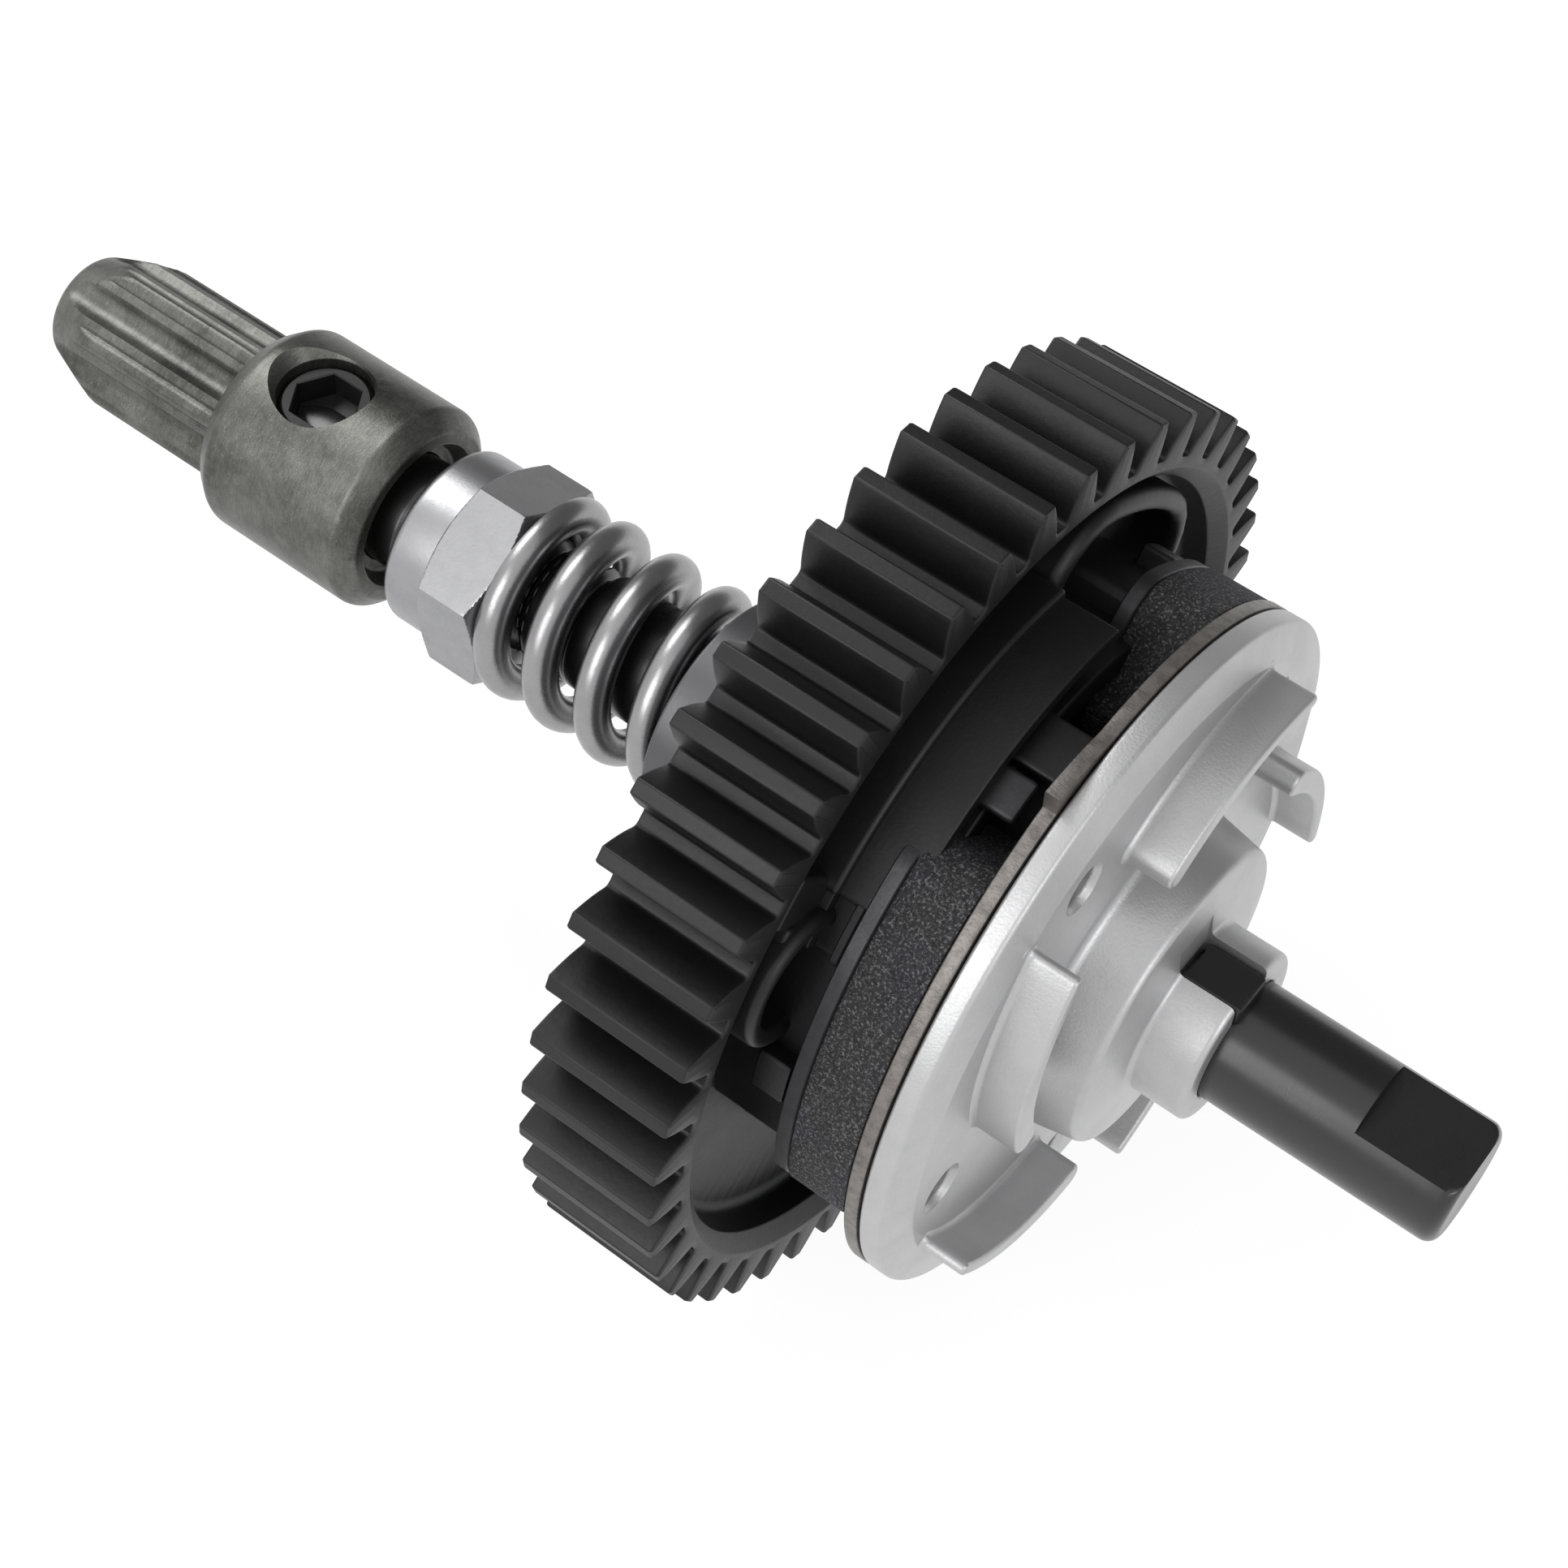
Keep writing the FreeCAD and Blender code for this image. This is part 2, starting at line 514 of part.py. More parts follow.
def make_yoke():
    spline = polygon_prism(SPLINE_SIDES, SPLINE_R, SPLINE_LEFT, COLLAR_LEFT + 0.3, SPLINE_ANGLE)
    spline = spline.common(spline_tip())
    flat_r = SPLINE_R * cos(pi / SPLINE_SIDES)
    grooves = []
    for k in range(SPLINE_SIDES):
        turn = SPLINE_ANGLE + (k + 0.5) * 360.0 / SPLINE_SIDES
        centre = at(SPLINE_LEFT - 1, flat_r + GROOVE_R - GROOVE_DEPTH, turn)
        grooves.append(Part.makeCylinder(GROOVE_R, COLLAR_LEFT - SPLINE_LEFT + 0.2, centre, AXIS))
    spline = spline.cut(grooves)
    collar = lathe([
        (COLLAR_LEFT, 0), (COLLAR_LEFT, COLLAR_R - 0.75), (COLLAR_LEFT + 0.2, COLLAR_R - 0.4),
        (COLLAR_LEFT + 0.5, COLLAR_R - 0.13), (COLLAR_LEFT + 0.95, COLLAR_R),
        (COLLAR_RIGHT - 0.7, COLLAR_R),
        (COLLAR_RIGHT, COLLAR_R - 0.65), (COLLAR_RIGHT, 0)])
    yoke = collar.fuse(spline)
    bore = drum(SHAFT_LEFT - 0.3, COLLAR_RIGHT + 1, SHAFT_R + 0.01)
    mouth = lathe([(COLLAR_RIGHT - 0.9, 0), (COLLAR_RIGHT - 0.9, 3.0), (COLLAR_RIGHT, 3.35),
                   (COLLAR_RIGHT + 1, 3.35), (COLLAR_RIGHT + 1, 0)])
    hole = Part.makeCylinder(SCREW_R + 0.02, 8, V(SCREW_X, 0, 1.0), V(0, 0, 1))
    sink = Part.makeCone(SCREW_R, SCREW_R + 0.45, 0.45, V(SCREW_X, 0, COLLAR_R - 0.4),
                         V(0, 0, 1))
    return yoke.cut([bore, mouth, hole, sink]).removeSplitter()


def make_set_screw():
    screw = Part.makeCylinder(SCREW_R, SCREW_TOP - SCREW_SEAT - 0.01,
                              V(SCREW_X, 0, SCREW_SEAT + 0.01), V(0, 0, 1))
    rims = edge_near(screw, lambda e: isinstance(e.Curve, Part.Circle))
    screw = screw.makeChamfer(0.2, rims)
    radius = SOCKET_AF / 2 / cos(pi / 6)
    points = [V(SCREW_X + radius * cos(radians(60 * k)), radius * sin(radians(60 * k)),
                SCREW_TOP - SOCKET_DEPTH) for k in range(7)]
    socket = Part.Face(Part.makePolygon(points)).extrude(V(0, 0, SOCKET_DEPTH + 1))
    return screw.cut(socket)


def all_parts():
    parts = {"shaft": make_shaft(), "drive_key": make_key(), "hub": make_hub(),
             "steel_disc": make_disc(), "rear_plate": make_rear_plate(),
             "yoke": make_yoke(), "set_screw": make_set_screw(), "spur_gear": make_gear(),
             "gear_bush": make_bush(), "spring": make_spring(), "lock_nut": make_nut(),
             "nylon_ring": make_nylon_ring()}
    for k in range(FINS):
        parts[f"disc_pin_{k + 1}"] = turned(make_pin(), 360.0 * k / FINS)
    for k, turn in enumerate(pad_turns()):
        parts[f"pad_{k + 1}"] = turned(make_pad(), turn)
        parts[f"insert_{k + 1}"] = turned(make_insert(), turn)
    return parts


os.makedirs("parts", exist_ok=True)
for name, shape in all_parts().items():
    solids = shape.Solids
    if len(solids) != 1 or not shape.isValid():
        print("check", name, "solids", len(solids), "valid", shape.isValid())
    solids[0].exportStep(f"parts/{name}.step")
    print(name, "volume", round(shape.Volume, 2))
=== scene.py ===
"""Dressed scene of a torque limiter on its 5 mm shaft.

Meshes are worked out in millimetres in the frame of the CAD model and turned
into metres when a piece is finished. +X runs along the shaft towards its flat
end, +Z points through the key slot, and turns count from +Z about +X.
"""

import logging
from dataclasses import dataclass
from enum import Enum
from math import acos, cos, degrees, pi, radians, sin, sqrt, tan
from typing import Callable, Iterable, Optional, Sequence, Union

import bmesh
import bpy
from mathutils import Matrix, Vector


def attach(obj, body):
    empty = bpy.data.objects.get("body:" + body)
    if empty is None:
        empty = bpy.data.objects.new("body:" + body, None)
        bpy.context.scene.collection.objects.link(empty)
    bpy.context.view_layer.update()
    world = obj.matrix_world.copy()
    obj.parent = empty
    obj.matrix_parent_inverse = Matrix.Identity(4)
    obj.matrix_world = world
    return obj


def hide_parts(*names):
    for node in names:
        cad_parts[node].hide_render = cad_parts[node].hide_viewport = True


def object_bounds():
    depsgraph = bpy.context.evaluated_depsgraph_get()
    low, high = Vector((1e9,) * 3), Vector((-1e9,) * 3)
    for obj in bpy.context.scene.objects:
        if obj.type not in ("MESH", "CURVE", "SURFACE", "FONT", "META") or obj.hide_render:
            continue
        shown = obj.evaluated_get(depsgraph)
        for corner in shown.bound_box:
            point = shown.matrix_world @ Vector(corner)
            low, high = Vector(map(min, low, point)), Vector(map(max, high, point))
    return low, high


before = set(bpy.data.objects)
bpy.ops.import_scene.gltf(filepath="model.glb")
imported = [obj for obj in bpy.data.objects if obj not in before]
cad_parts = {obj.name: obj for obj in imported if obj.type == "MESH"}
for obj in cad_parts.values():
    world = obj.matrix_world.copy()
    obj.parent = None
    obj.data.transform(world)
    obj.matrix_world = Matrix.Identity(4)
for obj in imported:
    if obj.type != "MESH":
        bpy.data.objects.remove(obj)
CAD_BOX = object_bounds()

LOG = logging.getLogger("torque_limiter")
MM = 0.001
SHARP = 32.0
FINE_WELD = 1e-8

Corner = tuple[float, float, float]
Profile = list[tuple[float, float]]
Ring = list[Vector]
Outline = Callable[[float], Profile]


class Body(Enum):
    """The bodies that pieces ride on."""

    SHAFT = "shaft_and_hub"
    GEAR = "gear_and_pads"
    SPRING = "spring_end"
    NUT = "nut"


# Shapes


def polar(x: float, r: float, turn: float) -> Vector:
    """The point at x and radius r, at the given turn in degrees."""
    a = radians(turn)
    return Vector((x, -r * sin(a), r * cos(a)))


def ease(t: float) -> float:
    """A smooth step from 0 to 1, flat at both ends."""
    t = max(0.0, min(1.0, t))
    return t * t * (3 - 2 * t)


def between(a: float, b: float, count: int) -> list[float]:
    """Evenly spaced values from a to b, both included."""
    return [a + (b - a) * k / (count - 1) for k in range(count)]


def soften(corners: Sequence[Corner], loop: bool = False, steps: int = 4) -> Profile:
    """Rounds the corners of a profile with true arcs.

    Args:
        corners: (x, r, radius) of each corner, radius 0 where it stays sharp.
        loop: True where the last corner joins the first.
        steps: Pieces in each arc.

    Returns:
        The (x, r) points of the rounded profile.
    """
    count = len(corners)
    out: Profile = []
    for k, (x, r, radius) in enumerate(corners):
        here = Vector((x, r))
        if radius <= 0 or (not loop and k in (0, count - 1)):
            out.append((x, r))
            continue
        before = Vector(corners[k - 1][:2]) - here
        after = Vector(corners[(k + 1) % count][:2]) - here
        inside = before.angle(after)
        reach = min(radius / tan(inside / 2), 0.48 * before.length, 0.48 * after.length)
        start, stop = here + before.normalized() * reach, here + after.normalized() * reach
        weight = sin(inside / 2)
        for step in range(steps + 1):
            s = step / steps
            parts = ((1 - s) ** 2, 2 * weight * s * (1 - s), s * s)
            point = (start * parts[0] + here * parts[1] + stop * parts[2]) / sum(parts)
            out.append((point.x, point.y))
    return out


def placed(name: str, data: bpy.types.ID) -> bpy.types.Object:
    """Puts data into the scene as an object of that name.

    Args:
        name: The object's name.
        data: Mesh, lamp or camera data.

    Returns:
        The object.
    """
    obj = bpy.data.objects.new(name, data)
    bpy.context.collection.objects.link(obj)
    return obj


class Shell:
    """Points and faces of one piece, gathered in millimetres."""

    def __init__(self) -> None:
        """Starts with nothing in it."""
        self.points: list[Vector] = []
        self.faces: list[tuple[int, ...]] = []

    def grid(self, rows: Sequence[Ring], around: bool = True, loop: bool = False,
             caps: bool = True) -> "Shell":
        """Joins rows of points with four-sided faces.

        Args:
            rows: Rings with the same number of points.
            around: True where each row's last point joins its first.
            loop: True where the last row joins the first.
            caps: True to close the first and last rows with one face each.

        Returns:
            The shell itself.
        """
        base, width = len(self.points), len(rows[0])
        for row in rows:
            self.points += row
        for i in range(len(rows) if loop else len(rows) - 1):
            a, b = base + i * width, base + (i + 1) % len(rows) * width
            for j in range(width if around else width - 1):
                n = (j + 1) % width
                self.faces.append((a + j, a + n, b + n, b + j))
        if caps and not loop:
            self.faces.append(tuple(base + j for j in range(width)))
            last = base + (len(rows) - 1) * width
            self.faces.append(tuple(last + j for j in range(width)))
        return self

    def lathe(self, profile: Profile, segments: int = 144, loop: bool = False,
              centre: tuple[float, float] = (0.0, 0.0)) -> "Shell":
        """Turns a profile of (x, radius) about an axis along X.

        Args:
            profile: Points of the profile.
            segments: Steps around.
            loop: True for a closed profile, such as a ring's.
            centre: The axis as (radius, turn) from the shaft's axis.

        Returns:
            The shell itself.
        """
        shift = polar(0.0, *centre)
        rows = [[polar(x, r, 360.0 * k / segments) + shift for k in range(segments)]
                for x, r in profile]
        return self.grid(rows, loop=loop)

    def stack(self, outline: Outline, stations: Profile, turn: float = 0.0) -> "Shell":
        """Stacks an outline along X.

        Args:
            outline: Gives the (side, height) points for an inset, side towards -Y.
            stations: (x, inset) of each layer.
            turn: Turn of the whole piece.

        Returns:
            The shell itself.
        """
        spin = Matrix.Rotation(radians(turn), 3, "X")
        rows = [[spin @ Vector((x, -side, height)) for side, height in outline(inset)]
                for x, inset in stations]
        return self.grid(rows)

    def to_object(self, name: str, weld: float = 1e-4, sharp: float = SHARP
                  ) -> bpy.types.Object:
        """Makes the object in metres, its normals outwards and its poles closed.

        Args:
            name: The new object's name.
            weld: Distance in millimetres under which points become one.
            sharp: Angle in degrees past which an edge stays sharp.

        Returns:
            The object.
        """
        mesh = bpy.data.meshes.new(name)
        mesh.from_pydata([p * MM for p in self.points], [], self.faces)
        obj = placed(name, mesh)
        tidy_mesh(obj, weld * MM, sharp)
        return obj


def tidy_mesh(obj: bpy.types.Object, weld: float = 1e-7, sharp: float = SHARP,
              closed: bool = True) -> None:
    """Merges doubles, points faces outwards and sets smooth shading with sharp edges.

    Args:
        obj: The object to tidy.
        weld: Distance in metres under which points become one.
        sharp: Angle in degrees past which an edge stays sharp.
        closed: False for an open part of a shell, whose faces keep their sides.
    """
    work = bmesh.new()
    work.from_mesh(obj.data)
    bmesh.ops.remove_doubles(work, verts=work.verts, dist=weld)
    bmesh.ops.dissolve_degenerate(work, edges=work.edges, dist=weld)
    if closed:
        bmesh.ops.recalc_face_normals(work, faces=work.faces)
    work.to_mesh(obj.data)
    work.free()
    obj.data.shade_smooth()
    obj.data.set_sharp_from_angle(angle=radians(sharp))


def drop(obj: bpy.types.Object) -> None:
    """Removes an object that was only a helper."""
    bpy.data.objects.remove(obj, do_unlink=True)


def plain(obj: bpy.types.Object, name: str) -> bpy.types.Object:
    """Turns what an object's modifiers give into a plain mesh object of that name.

    Args:
        obj: The object, which is removed.
        name: The new object's name.

    Returns:
        The plain mesh object.
    """
    depsgraph = bpy.context.evaluated_depsgraph_get()
    mesh = bpy.data.meshes.new_from_object(obj.evaluated_get(depsgraph))
    obj.modifiers.clear()
    drop(obj)
    mesh.name = name
    return placed(name, mesh)


def carve(obj: bpy.types.Object, cutters: Iterable[bpy.types.Object]) -> bpy.types.Object:
    """Cuts the cutters out of an object and removes them.

    Args:
        obj: The object to cut.
        cutters: Closed shapes to cut out of it.

    Returns:
        The cut object.
    """
    name = obj.name
    used = list(cutters)
    for cutter in used:
        cut = obj.modifiers.new("cut", "BOOLEAN")
        cut.operation, cut.solver, cut.object = "DIFFERENCE", "EXACT", cutter
    done = plain(obj, name)
    for cutter in used:
        drop(cutter)
    tidy_mesh(done, 2e-7)
    return done


def joined(name: str, *objs: bpy.types.Object) -> bpy.types.Object:
    """Puts several objects' meshes into one object of that name.

    Args:
        name: The new object's name.
        objs: The objects to join, which are removed.

    Returns:
        The joined object.
    """
    work = bmesh.new()
    for obj in objs:
        work.from_mesh(obj.data)
        drop(obj)
    mesh = bpy.data.meshes.new(name)
    work.to_mesh(mesh)
    work.free()
    done = placed(name, mesh)
    tidy_mesh(done, FINE_WELD)
    return done


def arc_outline(inner: float, outer: float, start: float, stop: float, corner: float,
                steps: int = 24) -> Outline:
    """The outline of a piece of a ring with rounded corners.

    Args:
        inner: Inner radius.
        outer: Outer radius.
        start: First turn in degrees.
        stop: Last turn in degrees.
        corner: Radius of the four corners.
        steps: Pieces along each long side.

    Returns:
        A function from an inset to the outline's (side, height) points.
    """
    middle = (inner + outer) / 2

    def points(inset: float) -> Profile:
        """The outline shrunk on every side by inset.

        Args:
            inset: How far the outline is shrunk.

        Returns:
            The (side, height) points.
        """
        half, rise = radians(stop - start) * middle / 2, (outer - inner) / 2
        core_u, core_v = half - corner, rise - corner
        grown = corner - inset
        flat: Profile = [(u, core_v + grown) for u in between(-core_u, core_u, steps)]
        flat += [(core_u + grown * sin(a), core_v + grown * cos(a))
                 for a in between(pi / 12, pi / 2, 6)]
        flat += [(core_u + grown * sin(a), -core_v + grown * cos(a))
                 for a in between(pi / 2 + pi / 12, pi, 6)]
        flat += [(u, -core_v - grown) for u in between(core_u, -core_u, steps)[1:]]
        flat += [(-core_u - grown * sin(a), -core_v - grown * cos(a))
                 for a in between(pi / 12, pi / 2, 6)]
        flat += [(-core_u - grown * sin(a), core_v - grown * cos(a))
                 for a in between(pi / 2 + pi / 12, pi - pi / 12, 5)]
        mid_turn = radians(start + stop) / 2
        return [((middle + v) * sin(mid_turn + u / middle),
                 (middle + v) * cos(mid_turn + u / middle)) for u, v in flat]

    return points


def rounded_top(base: float, top: float, radius: float, steps: int = 4) -> Profile:
    """Stations of a piece that stands on base and has a rounded upper edge.

    Args:
        base: Where the piece stands along X.
        top: Where it ends along X.
        radius: The edge's radius.
        steps: Pieces in the rounding.

    Returns:
        (x, inset) of each layer.
    """
    arc = [(top - radius + radius * sin(a), radius - radius * cos(a))
           for a in between(0.0, pi / 2, steps + 1)]
    return [(base, 0.0)] + arc


# Node trees


class Sock:
    """One output in a node tree, with arithmetic that adds Math nodes."""

    def __init__(self, nodes: "Nodes", socket: bpy.types.NodeSocket) -> None:
        """Keeps the tree's builder and the socket."""
        self.nodes, self.socket = nodes, socket

    def __add__(self, other: object) -> "Sock":
        """self + other."""
        return self.nodes.math("ADD", self, other)

    def __radd__(self, other: object) -> "Sock":
        """other + self."""
        return self.nodes.math("ADD", other, self)

    def __sub__(self, other: object) -> "Sock":
        """self - other."""
        return self.nodes.math("SUBTRACT", self, other)

    def __rsub__(self, other: object) -> "Sock":
        """other - self."""
        return self.nodes.math("SUBTRACT", other, self)

    def __mul__(self, other: object) -> "Sock":
        """self * other."""
        return self.nodes.math("MULTIPLY", self, other)

    def __rmul__(self, other: object) -> "Sock":
        """other * self."""
        return self.nodes.math("MULTIPLY", other, self)

    def __truediv__(self, other: object) -> "Sock":
        """self / other."""
        return self.nodes.math("DIVIDE", self, other)

    def __rtruediv__(self, other: object) -> "Sock":
        """other / self."""
        return self.nodes.math("DIVIDE", other, self)

    def smooth(self, low: float, high: float) -> "Sock":
        """A smooth step from 0 to 1.

        Args:
            low: Value that gives 0.
            high: Value that gives 1.

        Returns:
            The step.
        """
        return self.nodes.out("ShaderNodeMapRange", {"interpolation_type": "SMOOTHSTEP"},
                              {"Value": self, "From Min": low, "From Max": high})


Value = Union[float, tuple, Sock]


class Nodes:
    """A node tree of any kind that is built node by node."""

    def __init__(self, tree: bpy.types.NodeTree) -> None:
        """Keeps the tree that the nodes go into."""
        self.tree = tree

    def feed(self, socket: bpy.types.NodeSocket, value: object) -> None:
        """Links an output to a socket, or sets the socket's value.

        Args:
            socket: The socket.
            value: A Sock to link, or a plain value.
        """
        if isinstance(value, Sock):
            self.tree.links.new(value.socket, socket)
        else:
            socket.default_value = value

    def add(self, kind: str, settings: dict[str, object], links: dict[object, object]
            ) -> bpy.types.Node:
        """Adds a node: settings first, then its sockets.

        Args:
            kind: The node's type.
            settings: The node's settings by name.
            links: Values or links of its sockets.

        Returns:
            The node.
        """
        node = self.tree.nodes.new(kind)
        for key, value in settings.items():
            setattr(node, key, value)
        for key, value in links.items():
            self.feed(node.inputs[key], value)
        return node

    def out(self, kind: str, settings: dict[str, object], links: dict[object, object],
            output: Union[int, str] = 0) -> Sock:
        """Adds a node and gives one of its outputs."""
        return Sock(self, self.add(kind, settings, links).outputs[output])

    def math(self, operation: str, *values: object) -> Sock:
        """A Math node on outputs or numbers."""
        return self.out("ShaderNodeMath", {"operation": operation}, dict(enumerate(values)))


# Repeats and paths


class ShapeTree(Nodes):
    """A Geometry Nodes tree with named inputs."""

    def __init__(self, name: str, inputs: Sequence[tuple[str, str, object]]) -> None:
        """Makes the tree's group inputs and output.

        Args:
            name: Name of the tree.
            inputs: (name, socket type, starting value) of each input.
        """
        super().__init__(bpy.data.node_groups.new(name, "GeometryNodeTree"))
        face = self.tree.interface
        face.new_socket("Geometry", in_out="INPUT", socket_type="NodeSocketGeometry")
        face.new_socket("Geometry", in_out="OUTPUT", socket_type="NodeSocketGeometry")
        self.keys: dict[str, str] = {}
        for label, kind, value in inputs:
            socket = face.new_socket(label, in_out="INPUT", socket_type=kind)
            if value is not None:
                socket.default_value = value
            self.keys[label] = socket.identifier
        source = self.tree.nodes.new("NodeGroupInput")
        self.given = {socket.name: Sock(self, socket) for socket in source.outputs}
        self.sink = self.tree.nodes.new("NodeGroupOutput")

    def end(self, geometry: Sock, weld: Optional[Sock] = None) -> None:
        """Ends the tree in Realize Instances, a weld and Set Material.

        Args:
            geometry: What the tree has made.
            weld: Distance under which points become one, or None.
        """
        last = self.out("GeometryNodeRealizeInstances", {}, {"Geometry": geometry})
        if weld is not None:
            last = self.out("GeometryNodeMergeByDistance", {},
                            {"Geometry": last, "Distance": weld})
        last = self.out("GeometryNodeSetMaterial", {},
                        {"Geometry": last, "Material": self.given["Material"]})
        self.feed(self.sink.inputs["Geometry"], last)

    def apply(self, obj: bpy.types.Object, name: str, values: dict[str, object]
              ) -> bpy.types.Object:
        """Runs the tree on an object and returns the plain mesh object it gives.

        Args:
            obj: The object that goes into the tree.
            name: The new object's name.
            values: Value of each named input.

        Returns:
            The plain mesh object.
        """
        modifier = obj.modifiers.new(self.tree.name, "NODES")
        modifier.node_group = self.tree
        for label, value in values.items():
            modifier[self.keys[label]] = value
        return plain(obj, name)


def ring_array() -> ShapeTree:
    """A tree that repeats a piece about the shaft's axis.

    Returns:
        The tree, with Count, Step, Weld and Material as inputs.
    """
    tree = ShapeTree("ring_array", [("Count", "NodeSocketInt", 3),
                                    ("Step", "NodeSocketFloat", 1.0),
                                    ("Weld", "NodeSocketFloat", 1e-6),
                                    ("Material", "NodeSocketMaterial", None)])
    given = tree.given
    seats = tree.out("GeometryNodePoints", {}, {"Count": given["Count"]})
    index = tree.out("GeometryNodeInputIndex", {}, {})
    euler = tree.out("ShaderNodeCombineXYZ", {}, {"X": index * given["Step"]})
    turn = tree.out("FunctionNodeEulerToRotation", {}, {"Euler": euler})
    copies = tree.out("GeometryNodeInstanceOnPoints", {},
                      {"Points": seats, "Instance": given["Geometry"], "Rotation": turn})
    tree.end(copies, given["Weld"])
    return tree


def coil_tree() -> ShapeTree:
    """A tree that winds a round wire with a closed coil at each end.

    Returns:
        The tree, with the coil's sizes in metres as inputs.
    """
    tree = ShapeTree("coil", [("Points", "NodeSocketInt", 360),
                              ("Start X", "NodeSocketFloat", 0.0),
                              ("Radius", "NodeSocketFloat", 0.003),
                              ("Wire", "NodeSocketFloat", 0.001),
                              ("Pitch", "NodeSocketFloat", 0.002),
                              ("Closed Pitch", "NodeSocketFloat", 0.001),
                              ("Active Turns", "NodeSocketFloat", 3.0),
                              ("Closed Turns", "NodeSocketFloat", 0.7),
                              ("Start Turn", "NodeSocketFloat", 0.0),
                              ("Material", "NodeSocketMaterial", None)])
    given = tree.given
    active, closed = given["Active Turns"], given["Closed Turns"]
    blend_width = 0.3
    share = tree.out("GeometryNodeInputIndex", {}, {}) / (given["Points"] - 1)
    t = share * (active + closed * 2) - closed
    late = t - active
    open_turns = (tree.math("SMOOTH_MAX", t, 0.0, blend_width)
                  - tree.math("SMOOTH_MAX", late, 0.0, blend_width))
    extra = given["Pitch"] - given["Closed Pitch"]
    x = t * given["Closed Pitch"] + (open_turns * extra + given["Start X"])
    a = t * (2 * pi) + given["Start Turn"]
    y = tree.math("SINE", a) * (given["Radius"] * -1.0)
    z = tree.math("COSINE", a) * given["Radius"]
    place = tree.out("ShaderNodeCombineXYZ", {}, {"X": x, "Y": y, "Z": z})
    line = tree.out("GeometryNodeMeshLine", {}, {"Count": given["Points"]})
    path = tree.out("GeometryNodeSetPosition", {}, {"Geometry": line, "Position": place})
    curve = tree.out("GeometryNodeMeshToCurve", {}, {"Mesh": path})
    ring = tree.out("GeometryNodeCurvePrimitiveCircle", {},
                    {"Resolution": 24, "Radius": given["Wire"] / 2.0})
    tree.end(tree.out("GeometryNodeCurveToMesh", {},
                      {"Curve": curve, "Profile Curve": ring, "Fill Caps": True}))
    return tree


# Finishes


class Paint(Nodes):
    """A new material whose tree starts empty."""

    def __init__(self, name: str) -> None:
        """Makes the material.

        Args:
            name: The material's name.
        """
        self.material = bpy.data.materials.new(name)
        self.material.use_nodes = True
        super().__init__(self.material.node_tree)
        self.tree.nodes.clear()

    def surface(self, shader: Sock) -> None:
        """Makes a shader the material's surface."""
        self.add("ShaderNodeOutputMaterial", {}, {"Surface": shader})


class Graph(Paint):
    """A material with a Principled shader that reads Object coordinates."""

    def __init__(self, name: str) -> None:
        """Makes the material with its shader.

        Args:
            name: The material's name.
        """
        super().__init__(name)
        self.shader = self.add("ShaderNodeBsdfPrincipled", {}, {})
        self.surface(Sock(self, self.shader.outputs[0]))
        self.where = self.out("ShaderNodeTexCoord", {}, {}, "Object")

    def place(self, stretch: tuple[float, float, float]) -> Sock:
        """Object coordinates in millimetres, stretched on each axis."""
        scale = tuple(s / MM for s in stretch)
        return self.out("ShaderNodeMapping", {}, {"Vector": self.where, "Scale": scale})

    def noise(self, size: float, detail: float = 2.0, rough: float = 0.5,
              stretch: tuple[float, float, float] = (1, 1, 1)) -> Sock:
        """Noise from 0 to 1.

        Args:
            size: Size of a grain in millimetres.
            detail: Octaves of finer grain.
            rough: Strength of the finer grain.
            stretch: Stretch of the grain on each axis.

        Returns:
            The noise's value.
        """
        return self.out("ShaderNodeTexNoise", {},
                        {"Vector": self.place(stretch), "Scale": 1 / size, "Detail": detail,
                         "Roughness": rough})

    def mix(self, factor: Value, a: Value, b: Value) -> Sock:
        """Mixes two colours."""
        return self.out("ShaderNodeMix", {"data_type": "RGBA"}, {0: factor, 6: a, 7: b}, 2)

    def set(self, **values: Value) -> None:
        """Sets or links sockets of the shader, spaces in names as underscores."""
        for key, value in values.items():
            self.feed(self.shader.inputs[key.replace("_", " ")], value)

    def bump(self, height: Sock, depth: float) -> None:
        """Feeds the shader's normal with a relief.

        Args:
            height: The relief from 0 to 1.
            depth: Its depth in millimetres.
        """
        self.set(Normal=self.out("ShaderNodeBump", {}, {
            "Height": height, "Distance": depth * MM, "Strength": 1.0}))


def rgb(red: float, green: float, blue: float) -> tuple[float, float, float, float]:
    """A colour from values of 0 to 255 as a picture shows them.

    Args:
        red: Red channel.
        green: Green channel.
        blue: Blue channel.

    Returns:
        The colour in linear light, with alpha.
    """
    def linear(value: float) -> float:
        """One channel in linear light."""
        v = value / 255
        return v / 12.92 if v <= 0.04045 else ((v + 0.055) / 1.055) ** 2.4
    return (linear(red), linear(green), linear(blue), 1.0)


@dataclass(frozen=True)
class Finish:
    """A finish that can make its material once."""

    name: str

    def paint(self, graph: Graph) -> None:
        """Fills the material's nodes."""
        raise NotImplementedError

    def material(self) -> bpy.types.Material:
        """The material, made on first use.

        Returns:
            The material.
        """
        made = bpy.data.materials.get(self.name)
        if made is None:
            graph = Graph(self.name)
            self.paint(graph)
            made = graph.material
        return made


